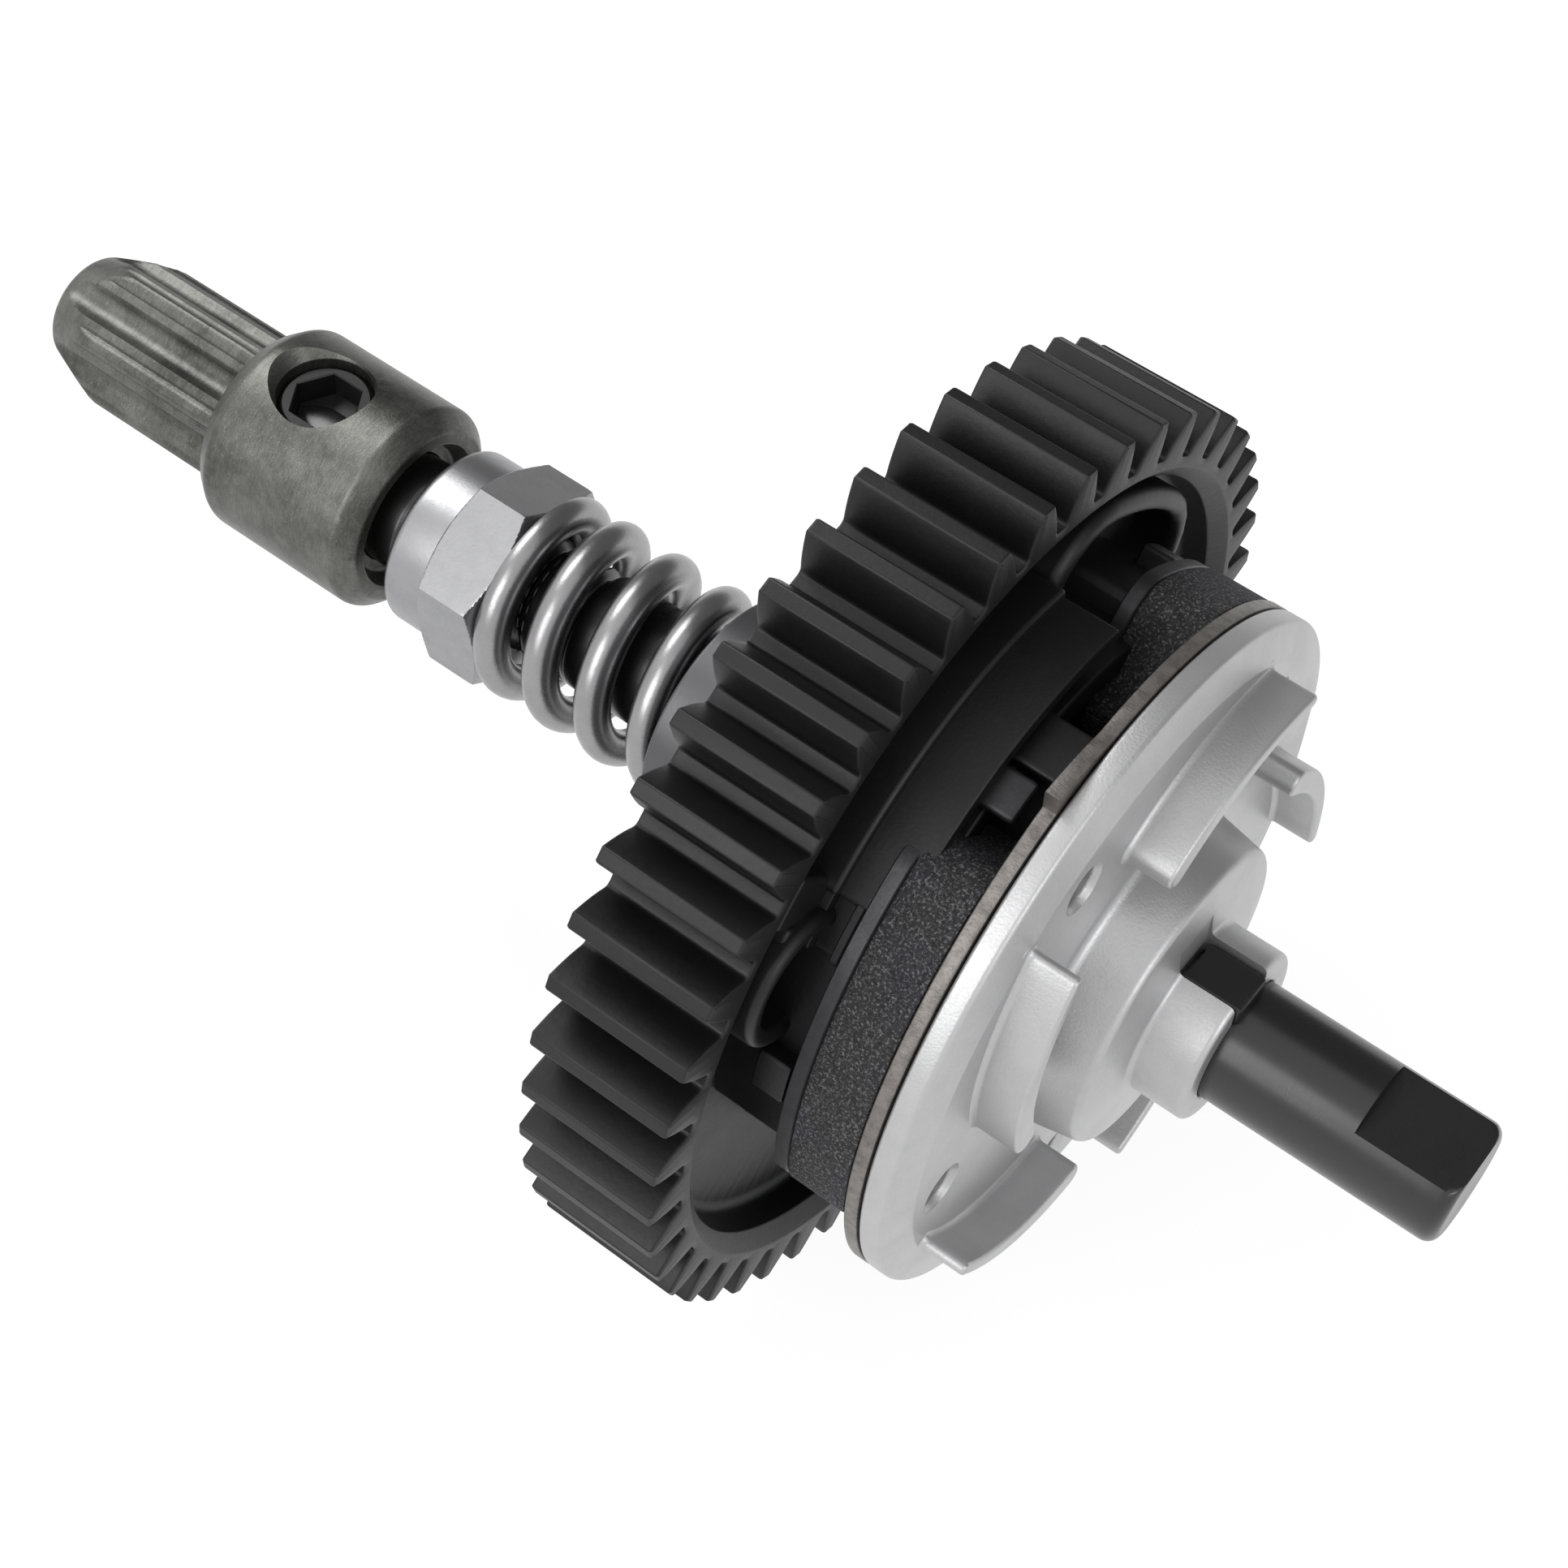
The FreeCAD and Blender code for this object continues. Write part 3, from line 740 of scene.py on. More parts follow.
@dataclass(frozen=True)
class MouldedNylon(Finish):
    """Black nylon as it comes from a mould: satin, slightly uneven, fine grained."""

    colour: tuple = rgb(13, 13, 14)
    worn: tuple = rgb(32, 32, 33)
    rough: float = 0.46
    gloss: float = 0.4
    grain: float = 0.012
    cloud_size: float = 4.0
    fine_size: float = 0.22
    scuff_size: float = 0.9

    def paint(self, graph: Graph) -> None:
        """Uneven sheen, fine flow marks and dusty patches at random.

        Args:
            graph: The material's graph.
        """
        cloud = graph.noise(self.cloud_size, 3.0)
        fine = graph.noise(self.fine_size, 3.0, 0.6)
        scuff = graph.noise(self.scuff_size, 6.0, 0.7).smooth(0.52, 0.75)
        graph.set(Base_Color=graph.mix(cloud * 0.35 + scuff * 0.35, self.colour, self.worn),
                  Roughness=self.rough + (cloud - 0.5) * 0.14 + (fine - 0.5) * 0.1,
                  Specular_IOR_Level=self.gloss)
        graph.bump(fine * 0.7 + cloud * 0.3, self.grain)


@dataclass(frozen=True)
class FrictionCompound(Finish):
    """Pressed friction compound: charcoal with dense pale grains on two tints."""

    dark: tuple = rgb(24, 24, 25)
    pale: tuple = rgb(138, 138, 140)
    blue: tuple = rgb(54, 53, 62)
    brown: tuple = rgb(53, 52, 52)
    speck: float = 0.105
    drift_size: float = 4.0
    coarse_size: float = 0.5
    relief: float = 0.07
    gloss: float = 0.35

    def paint(self, graph: Graph) -> None:
        """Pale and dark grains in a porous ground whose tint drifts.

        Args:
            graph: The material's graph.
        """
        drift = graph.noise(self.drift_size, 2.0)
        coarse = graph.noise(self.coarse_size, 4.0, 0.7)
        fine = graph.noise(self.speck, 3.0, 0.75)
        other = graph.noise(self.speck * 1.4, 3.0, 0.7, (1.0, 1.1, 0.9))
        ground = graph.mix(drift.smooth(0.42, 0.58), self.brown, self.blue)
        ground = graph.mix(other.smooth(0.44, 0.62) * 0.85, ground, self.dark)
        ground = graph.mix(fine.smooth(0.5, 0.68) * 0.9, ground, self.pale)
        graph.set(Base_Color=ground, Roughness=0.8 - fine * 0.15,
                  Specular_IOR_Level=self.gloss)
        graph.bump(fine * 0.6 + coarse * 0.4, self.relief)


@dataclass(frozen=True)
class BareMetal(Finish):
    """A bare metal surface with its own grain, mottle and wear."""

    colour: tuple = rgb(196, 197, 198)
    dark: tuple = rgb(150, 150, 152)
    metallic: float = 1.0
    rough: float = 0.35
    mottle: float = 1.5
    mottle_share: float = 0.3
    grain: float = 0.2
    stretch: tuple[float, float, float] = (1.0, 1.0, 1.0)
    relief: float = 0.006

    def paint(self, graph: Graph) -> None:
        """Mottle in the colour, grain in the sheen and the relief.

        Args:
            graph: The material's graph.
        """
        cloud = graph.noise(self.mottle, 4.0, 0.6)
        fine = graph.noise(self.grain, 3.0, 0.65, self.stretch)
        blend = (cloud.smooth(0.35, 0.7) * 0.7 + fine.smooth(0.4, 0.7) * 0.3)
        graph.set(Base_Color=graph.mix(blend * self.mottle_share, self.colour, self.dark),
                  Metallic=self.metallic,
                  Roughness=self.rough + (fine - 0.5) * 0.16 + (cloud - 0.5) * 0.1)
        graph.bump(fine, self.relief)


@dataclass(frozen=True)
class CastMetal(Finish):
    """Turned cast steel: grey, cloudy, with fine marks round it and a sandy skin."""

    light: tuple = rgb(120, 120, 116)
    dark: tuple = rgb(66, 66, 63)
    spark: tuple = rgb(172, 172, 168)
    metallic: float = 0.85
    rough: float = 0.38
    cloud_size: float = 4.5
    mark_size: float = 0.5
    sand_size: float = 0.1
    relief: float = 0.02

    def paint(self, graph: Graph) -> None:
        """Clouds, fine turning marks and bright grains over a sandy relief.

        Args:
            graph: The material's graph.
        """
        cloud = graph.noise(self.cloud_size, 3.0, 0.55)
        moved = graph.out("ShaderNodeVectorMath", {"operation": "MULTIPLY_ADD"},
                          {0: graph.out("ShaderNodeTexNoise", {},
                                        {"Vector": graph.place((1, 1, 1)), "Scale": 0.5}, 1),
                           1: (1.6, 1.6, 1.6), 2: graph.place((1, 1, 1))})
        swirl = graph.out("ShaderNodeTexNoise", {},
                          {"Vector": moved, "Scale": 1.2, "Detail": 7.0, "Roughness": 0.75})
        marks = graph.noise(self.mark_size, 4.0, 0.65, (6.0, 1.0, 1.0))
        sand = graph.noise(self.sand_size, 3.0, 0.7)
        tone = graph.mix(cloud.smooth(0.3, 0.7) * 0.55 + swirl.smooth(0.38, 0.66) * 0.3
                         + marks.smooth(0.4, 0.65) * 0.15, self.dark, self.light)
        tone = graph.mix((1 - marks).smooth(0.5, 0.7) * 0.25, tone, self.dark)
        tone = graph.mix(sand.smooth(0.58, 0.75) * 0.4, tone, self.spark)
        graph.set(Base_Color=tone, Metallic=self.metallic,
                  Roughness=self.rough + (cloud - 0.5) * 0.2 + (sand - 0.5) * 0.2)
        graph.bump(sand * 0.5 + marks * 0.3 + swirl * 0.2, self.relief)


@dataclass(frozen=True)
class BlackOxide(Finish):
    """Blackened polished steel with faint lengthwise or turned marks."""

    colour: tuple = rgb(26, 25, 25)
    rub: tuple = rgb(56, 54, 52)
    rough: float = 0.28
    metallic: float = 0.0
    gloss: float = 0.68
    mark_size: float = 0.35
    cloud_size: float = 2.5
    relief: float = 0.0015

    def paint(self, graph: Graph) -> None:
        """A gloss black with slight rubs.

        Args:
            graph: The material's graph.
        """
        marks = graph.noise(self.mark_size, 3.0, 0.6, (6.0, 1.0, 1.0))
        cloud = graph.noise(self.cloud_size, 3.0)
        graph.set(Base_Color=graph.mix(marks.smooth(0.6, 0.8) * 0.25 + cloud * 0.1,
                                       self.colour, self.rub),
                  Metallic=self.metallic,
                  Roughness=self.rough + (cloud - 0.5) * 0.1 + (marks - 0.5) * 0.06,
                  Specular_IOR_Level=self.gloss)
        graph.bump(marks, self.relief)


class Look:
    """The finishes of this object."""

    NYLON = MouldedNylon("black_nylon")
    FRICTION = FrictionCompound("friction_compound")
    HUB = BareMetal("blasted_aluminium", rgb(198, 198, 199), rgb(172, 172, 173), 0.65, 0.42,
                    2.2, 0.35, 0.11, (1.0, 1.0, 1.0), 0.012)
    DISC = BareMetal("rolled_steel", rgb(138, 133, 129), rgb(80, 77, 74), 0.6, 0.42,
                     0.5, 0.7, 0.11, (0.6, 1.5, 1.5), 0.02)
    # The pins' dark grey is painted shade: it is darkened to stand for the shade inside the hub's
    # holes that the pins sit in.
    PIN_HOLE_SHADE = BareMetal("pin_painted_hole_shade", rgb(104, 104, 106), rgb(76, 76, 78), 0.9, 0.35)
    PLATE = BareMetal("plated_steel", rgb(98, 98, 100), rgb(78, 78, 80), 0.7, 0.42,
                      1.6, 0.3, 0.15, (5.0, 1.0, 1.0), 0.004)
    INSERT = BareMetal("dark_insert", rgb(68, 68, 70), rgb(44, 44, 46), 0.6, 0.42,
                       0.8, 0.5, 0.12)
    BRIGHT = BareMetal("bright_steel", rgb(158, 157, 158), rgb(124, 123, 125), 1.0, 0.3,
                       1.2, 0.35, 0.12, (1.0, 1.0, 1.0), 0.004)
    NUT = BareMetal("bright_plating", rgb(160, 160, 162), rgb(130, 130, 132), 1.0, 0.36,
                    1.0, 0.3, 0.14, (1.0, 1.0, 1.0), 0.004)
    BUSH = BareMetal("sintered_bush", rgb(120, 116, 108), rgb(84, 80, 74), 0.7, 0.5)
    YOKE = CastMetal("cast_steel")
    SHAFT = BlackOxide("black_shaft")
    SCREW = BlackOxide("black_screw", rgb(26, 25, 25), rgb(52, 51, 50), 0.36, gloss=0.3)
    KEY = BlackOxide("dark_key", rgb(24, 23, 23), rgb(62, 60, 58), 0.38, gloss=0.5)
    RING = MouldedNylon("natural_nylon", rgb(206, 203, 192), rgb(190, 186, 172), 0.4)


def hand_over(obj: bpy.types.Object, finish: Finish, body: Body,
              nodes: Sequence[str]) -> bpy.types.Object:
    """Dresses a finished piece, puts it on its body and hides the CAD nodes that it stands for.

    Args:
        obj: The finished object.
        finish: Its finish.
        body: The body that it rides on.
        nodes: CAD nodes that it stands for.

    Returns:
        The object.
    """
    weigh = obj.modifiers.new("weighted_normals", "WEIGHTED_NORMAL")
    weigh.mode, weigh.keep_sharp = "FACE_AREA", True
    obj = plain(obj, obj.name)
    obj.data.materials.clear()
    obj.data.materials.append(finish.material())
    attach(obj, body.value)
    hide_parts(*nodes)
    LOG.info("%s: %d faces, on %s", obj.name, len(obj.data.polygons), body.value)
    return obj


# Sub-assemblies


@dataclass
class GearBody:
    """The black spur gear with its recess, drum, guard, ledges and lugs.

    Pairs named _r are inner and outer radius, pairs named _turns first and last
    turn. The turns of ledge, claw, lug and tower count from their block's middle.
    """

    module: float = 0.8
    teeth: int = 47
    pressure_angle: float = 20.0
    half: float = 3.0
    phase: float = 3.4
    root_fillet: float = 0.22
    edge: float = 0.13
    bore: float = 6.0
    rim_edge: float = 17.35
    rim_wall: float = 16.72
    back_rim: float = 17.0
    floor: float = 1.0
    sunk: float = 0.2
    web_left: float = -1.5
    web_right: float = 7.2
    hub_wall: float = 1.3
    crown: float = 0.05
    drum: tuple[float, float, float] = (11.3, 12.4, 5.6)
    guard_r: float = 14.2
    guard_foot_r: float = 14.55
    guard_turns: tuple[float, float] = (-12.5, 44.0)
    guard_wall: float = 0.62
    cup_turns: tuple[float, float] = (-63.0, -11.5)
    cup_r: tuple[float, float] = (9.5, 16.3)
    cup_wall: float = 0.95
    cup_corner: float = 3.2
    cup_top: float = 2.85
    window_turns: tuple[float, float] = (3.4, 13.4)
    window_top: float = 7.25
    guard_foot_top: float = 3.3
    stair_span: tuple[float, float] = (-1.0, 9.0)
    stair_tops: tuple[float, float, float] = (3.15, 4.2, 4.4)
    claw_turns: tuple[float, float] = (8.0, 15.5)
    claw_x: tuple[float, float] = (2.9, 4.3)
    ledge_turns: tuple[float, float] = (-21.5, -14.0)
    ledge_top: float = 2.85
    lug_r: tuple[float, float] = (14.5, 16.1)
    lug_turns: tuple[float, float] = (-14.5, -9.0)
    lug_top: float = 3.0
    tower_r: tuple[float, float] = (2.05, 2.8)
    tower_seat: tuple[float, float] = (14.0, -5.5)
    tower_top: float = 3.4
    bare_block: int = 2

    @property
    def pitch_r(self) -> float:
        """Pitch radius."""
        return self.module * self.teeth / 2

    def half_tooth(self, r: float) -> float:
        """Half of a tooth's angle at radius r, in degrees.

        Args:
            r: Distance from the axis.

        Returns:
            The angle.
        """
        alpha = radians(self.pressure_angle)
        here = acos(min(1.0, self.pitch_r * cos(alpha) / r))
        swept = (tan(alpha) - alpha) - (tan(here) - here)
        return degrees(pi / (2 * self.teeth) + swept)

    def half_outline(self) -> Profile:
        """(turn, radius) from a tooth's middle to the middle of the next gap.

        Returns:
            The points.
        """
        root = self.pitch_r - 1.25 * self.module
        tip = self.pitch_r + self.module
        start, crown = root + self.root_fillet, self.crown
        land = self.half_tooth(tip)
        points = [(0.0, tip), (land - degrees(2 * crown / tip), tip),
                  (land - degrees(crown / tip), tip),
                  (land - degrees(crown / tip) * 0.25, tip - crown * 0.3)]
        points += [(self.half_tooth(r), r) for r in between(tip - crown, start, 8)]
        foot = self.half_tooth(start) + degrees(self.root_fillet / root) * 0.8
        points += [(self.half_tooth(start) + (foot - self.half_tooth(start)) * share,
                    start - self.root_fillet * drop_share)
                   for share, drop_share in ((0.18, 0.45), (0.5, 0.84), (1.0, 1.0))]
        points.append((180.0 / self.teeth, root))
        return points

    def tooth_outline(self) -> Profile:
        """(turn, radius) from the gap before a tooth to the gap after it."""
        half = self.half_outline()
        return [(-turn, r) for turn, r in reversed(half)] + half[1:]

    def sector_row(self, x: float, inset: float) -> Ring:
        """One tooth's outline from gap to gap, shrunk by inset.

        Args:
            x: Place along the shaft.
            inset: How far the outline is shrunk.

        Returns:
            The row of points.
        """
        flat = [Vector((r * sin(radians(turn)), r * cos(radians(turn))))
                for turn, r in self.tooth_outline()]
        row: Ring = []
        for k, point in enumerate(flat):
            ahead = flat[min(k + 1, len(flat) - 1)] - flat[max(k - 1, 0)]
            inward = Vector((ahead.y, -ahead.x)).normalized()
            if k in (0, len(flat) - 1):
                inward = -point.normalized()
            moved = point + inward * inset
            turn = degrees(moved.angle_signed(Vector((0, 1)))) + self.phase
            row.append(polar(x, moved.length, -turn + 2 * self.phase))
        return row

    def circle_row(self, x: float, r: float) -> Ring:
        """The same turns as a tooth's outline on a plain circle."""
        return [polar(x, r, self.phase + turn) for turn, _ in self.tooth_outline()]

    def sector(self) -> bpy.types.Object:
        """One tooth with its share of the rim, recess, web and bore.

        Returns:
            The sector as an open object.
        """
        h, edge = self.half, self.edge
        rows = [self.sector_row(x, inset) for x, inset in (
            (-h, edge), (-h + edge * 0.3, edge * 0.3), (-h + edge, 0.0),
            (h - edge, 0.0), (h - edge * 0.3, edge * 0.3), (h, edge))]
        neck = self.bore + self.hub_wall
        inside = soften([
            (h, self.rim_edge + 0.1, 0.0), (h, self.rim_edge, 0.12), (2.45, self.rim_wall, 0.15),
            (self.floor, self.rim_wall - 0.06, 0.45), (self.floor, neck, 0.2),
            (self.web_right, neck, 0.1), (self.web_right, self.bore, 0.1),
            (self.web_left, self.bore, 0.1), (self.web_left, self.back_rim, 0.3),
            (-h, self.back_rim, 0.12), (-h, self.back_rim + 0.3, 0.0)])
        rows += [self.circle_row(x, r) for x, r in inside]
        return Shell().grid(rows, around=False, loop=True).to_object("tooth_sector")

    def fittings(self) -> bpy.types.Object:
        """Drum, guard with its stairs, window piece and cup wall, and what stands by a block.

        Returns:
            One object with all of them.
        """
        shell = Shell()
        low = self.floor - self.sunk
        inner, outer, top = self.drum
        inside = inner + 0.1
        start, stop = self.guard_turns
        shell.lathe(soften([(low, inner, 0), (low, outer, 0), (top, outer, 0.18),
                            (top, inner, 0.1)], loop=True), 216, loop=True)
        shell.stack(arc_outline(self.guard_r - self.guard_wall, self.guard_r, start, stop,
                                0.25, 60), rounded_top(low, top, 0.12))
        shell.stack(arc_outline(outer - 0.2, outer + 0.6, *self.window_turns, 0.15),
                    rounded_top(low, self.window_top, 0.1))
        self.ridge(shell, arc_outline(*self.cup_r, *self.cup_turns, self.cup_corner, 40),
                   self.cup_top)
        shell.stack(arc_outline(inside, self.guard_foot_r, start, stop, 0.3, 60),
                    rounded_top(low, self.guard_foot_top, 0.2))
        stair = [stop + end for end in self.stair_span]
        first, second, third = self.stair_tops
        for back, corner, stations in (
                (0.0, 0.15, rounded_top(low, first, 0.05)),
                (0.6, 0.1, rounded_top(low, second, 0.05)),
                (0.0, 0.15, [(third - 0.4, 0.05), (third - 0.35, 0.0), (third - 0.1, 0.0),
                             (third, 0.08)])):
            shell.stack(arc_outline(inside, self.guard_r - back, *stair, corner, 14), stations)
        claw_low, claw_top = self.claw_x
        for number, turn in enumerate(Blocks().turns()):
            claw, ledge, lug = ([turn + end for end in span] for span in (
                self.claw_turns, self.ledge_turns, self.lug_turns))
            shell.stack(arc_outline(inner, self.guard_r, *claw, 0.2, 14),
                        [(claw_low, 0.12), (claw_low + 0.1, 0.0), (claw_top - 0.15, 0.0),
                         (claw_top - 0.04, 0.05), (claw_top, 0.15)])
            shell.stack(Blocks().outline(1.0), rounded_top(low, 4.4, 0.1), turn)
            if number == self.bare_block:
                continue
            shell.stack(arc_outline(inner, self.rim_wall + 0.1, *ledge, 0.25),
                        rounded_top(low, self.ledge_top, 0.2))
            shell.stack(arc_outline(*self.lug_r, *lug, 0.3),
                        rounded_top(low, self.lug_top, 0.15))
            bore, wall = self.tower_r
            seat_r, seat_turn = self.tower_seat
            shell.lathe(soften([(low, bore, 0), (low, wall, 0), (self.tower_top, wall, 0.34),
                                (self.tower_top, bore, 0.34)], loop=True, steps=6), 72,
                        loop=True, centre=(seat_r, turn + seat_turn))
        return shell.to_object("gear_fittings")

    def ridge(self, shell: Shell, outline: Outline, top: float) -> None:
        """Adds a rounded wall that follows an outline and leaves its middle open.

        Args:
            shell: The shell that the wall is added to.
            outline: The wall's outer outline.
            top: Where the wall ends along X.
        """
        low, wall = self.floor - self.sunk, self.cup_wall
        half = wall / 2
        stations = [(low, 0.0)]
        stations += [(top - half + half * sin(a), half - half * cos(a))
                     for a in between(0.0, pi, 11)]
        stations.append((low, wall))
        shell.grid([[Vector((x, -side, height)) for side, height in outline(inset)]
                    for x, inset in stations], loop=True)

    def build(self) -> list[bpy.types.Object]:
        """Builds and dresses the gear.

        Returns:
            The dressed pieces.
        """
        teeth = ring_array().apply(self.sector(), "gear_teeth", {
            "Count": self.teeth, "Step": 2 * pi / self.teeth, "Weld": 2e-6,
            "Material": Look.NYLON.material()})
        tidy_mesh(teeth, 1e-7)
        gear = joined("spur_gear_piece", teeth, self.fittings())
        return [hand_over(gear, Look.NYLON, Body.GEAR, ["spur_gear"])]


@dataclass
class Blocks:
    """The three friction blocks, their metal inserts and the gear's bush."""

    count: int = 3
    first: float = 63.5
    outer: float = 14.4
    inner: float = 8.0
    half_width: float = 7.85
    slope: float = 14.0
    corner: float = 1.6
    insert_x: float = 4.4
    pad_x: float = 5.05
    end_x: float = 7.6
    shank_left: float = -1.88
    shank_inset: float = 1.5
    finger_r: tuple[float, float] = (12.5, 13.05)
    finger_turns: tuple[float, float, float] = (-48.9, -41.3, -31.8)
    finger_tops: tuple[float, float] = (5.2, 6.7)
    bush_x: tuple[float, float] = (-1.5, 7.2)
    bush_r: tuple[float, float] = (5.05, 5.99)

    def turns(self) -> list[float]:
        """The turn of each block's middle."""
        return [self.first + 360.0 * k / self.count for k in range(self.count)]

    def outline(self, base_inset: float = 0.0) -> Outline:
        """The block's kidney outline with rounded corners.

        Args:
            base_inset: Added to every inset that the outline is asked for.

        Returns:
            A function from an inset to (side, height) points.
        """
        slant = tan(radians(self.slope))
        foot = sqrt(self.outer ** 2 - self.half_width ** 2)

        def core_angle(r: float) -> float:
            """Turn of the end line at radius r, for the outline shrunk by corner.

            Args:
                r: Distance from the axis.

            Returns:
                The turn in radians.
            """
            a = self.half_width - self.corner / cos(radians(self.slope)) - slant * foot
            z = (-a * slant + sqrt(r * r * (1 + slant ** 2) - a * a)) / (1 + slant ** 2)
            return acos(z / r)

        def points(inset: float) -> Profile:
            """Core points moved out along their normals.

            Args:
                inset: How far the outline is shrunk.

            Returns:
                The (side, height) points.
            """
            far, near = self.outer - self.corner, self.inner + self.corner
            reach = self.corner - inset - base_inset
            wide, tight = core_angle(far), core_angle(near)
            end = pi / 2 + radians(self.slope)
            marks = [(far, a, a) for a in between(-wide, wide, 40)]
            marks += [(far, wide, n) for n in between(wide, end, 9)[1:]]
            marks += [(near, tight, n) for n in between(end, pi + tight, 9)]
            marks += [(near, a, pi + a) for a in between(tight, -tight, 24)[1:]]
            marks += [(near, -tight, n) for n in between(pi - tight, 2 * pi - end, 9)[1:]]
            marks += [(far, -wide, n) for n in between(2 * pi - end, 2 * pi - wide, 9)[:-1]]
            return [(r * sin(a) + reach * sin(n), r * cos(a) + reach * cos(n))
                    for r, a, n in marks]

        return points

    def repeat(self, shell: Shell, name: str, finish: Finish) -> bpy.types.Object:
        """Repeats one piece for all three blocks.

        Args:
            shell: The first piece.
            name: The new object's name.
            finish: Its finish.

        Returns:
            All three as one object.
        """
        done = ring_array().apply(shell.to_object(name), name, {
            "Count": self.count, "Step": 2 * pi / self.count, "Weld": FINE_WELD,
            "Material": finish.material()})
        tidy_mesh(done, FINE_WELD)
        return done

    def names(self, stem: str) -> list[str]:
        """The CAD names of the three pieces."""
        return [f"{stem}_{k + 1}" for k in range(self.count)]

    def build(self) -> list[bpy.types.Object]:
        """Builds the blocks, inserts and bush.

        Returns:
            The dressed pieces.
        """
        pad = Shell().stack(self.outline(), [
            (self.pad_x, 0.14), (self.pad_x + 0.05, 0.05), (self.pad_x + 0.15, 0.0),
            (self.end_x - 0.16, 0.0), (self.end_x - 0.05, 0.05), (self.end_x, 0.16)],
            self.first)
        insert = Shell().stack(self.outline(0.05), [
            (self.insert_x, 0.08), (self.insert_x + 0.06, 0.0), (self.pad_x - 0.08, 0.0),
            (self.pad_x, 0.1)], self.first)
        insert.stack(self.outline(self.shank_inset),
                     [(self.shank_left, 0.1), (self.shank_left + 0.1, 0.0),
                      (self.insert_x + 0.1, 0.0)], self.first)
        start, notch, stop = (self.first + turn for turn in self.finger_turns)
        low_top, high_top = self.finger_tops
        insert.stack(arc_outline(*self.finger_r, start, stop, 0.12),
                     [(self.insert_x, 0.0), (low_top, 0.0)])
        insert.stack(arc_outline(*self.finger_r, start, notch, 0.2),
                     [(self.insert_x, 0.0), (high_top - 0.2, 0.0), (high_top - 0.05, 0.05),
                      (high_top, 0.12)])
        (left, right), (bore, skin) = self.bush_x, self.bush_r
        bush = Shell().lathe(soften([(left, bore, 0.1), (left, skin, 0.1), (right, skin, 0.1),
                                     (right, bore, 0.1)], loop=True), 96, loop=True)
        return [
            hand_over(self.repeat(pad, "friction_blocks", Look.FRICTION), Look.FRICTION,
                      Body.GEAR, self.names("pad")),
            hand_over(self.repeat(insert, "block_inserts", Look.INSERT), Look.INSERT,
                      Body.GEAR, self.names("insert")),
            hand_over(bush.to_object("bush_piece"), Look.BUSH, Body.GEAR,
                      ["gear_bush"])]


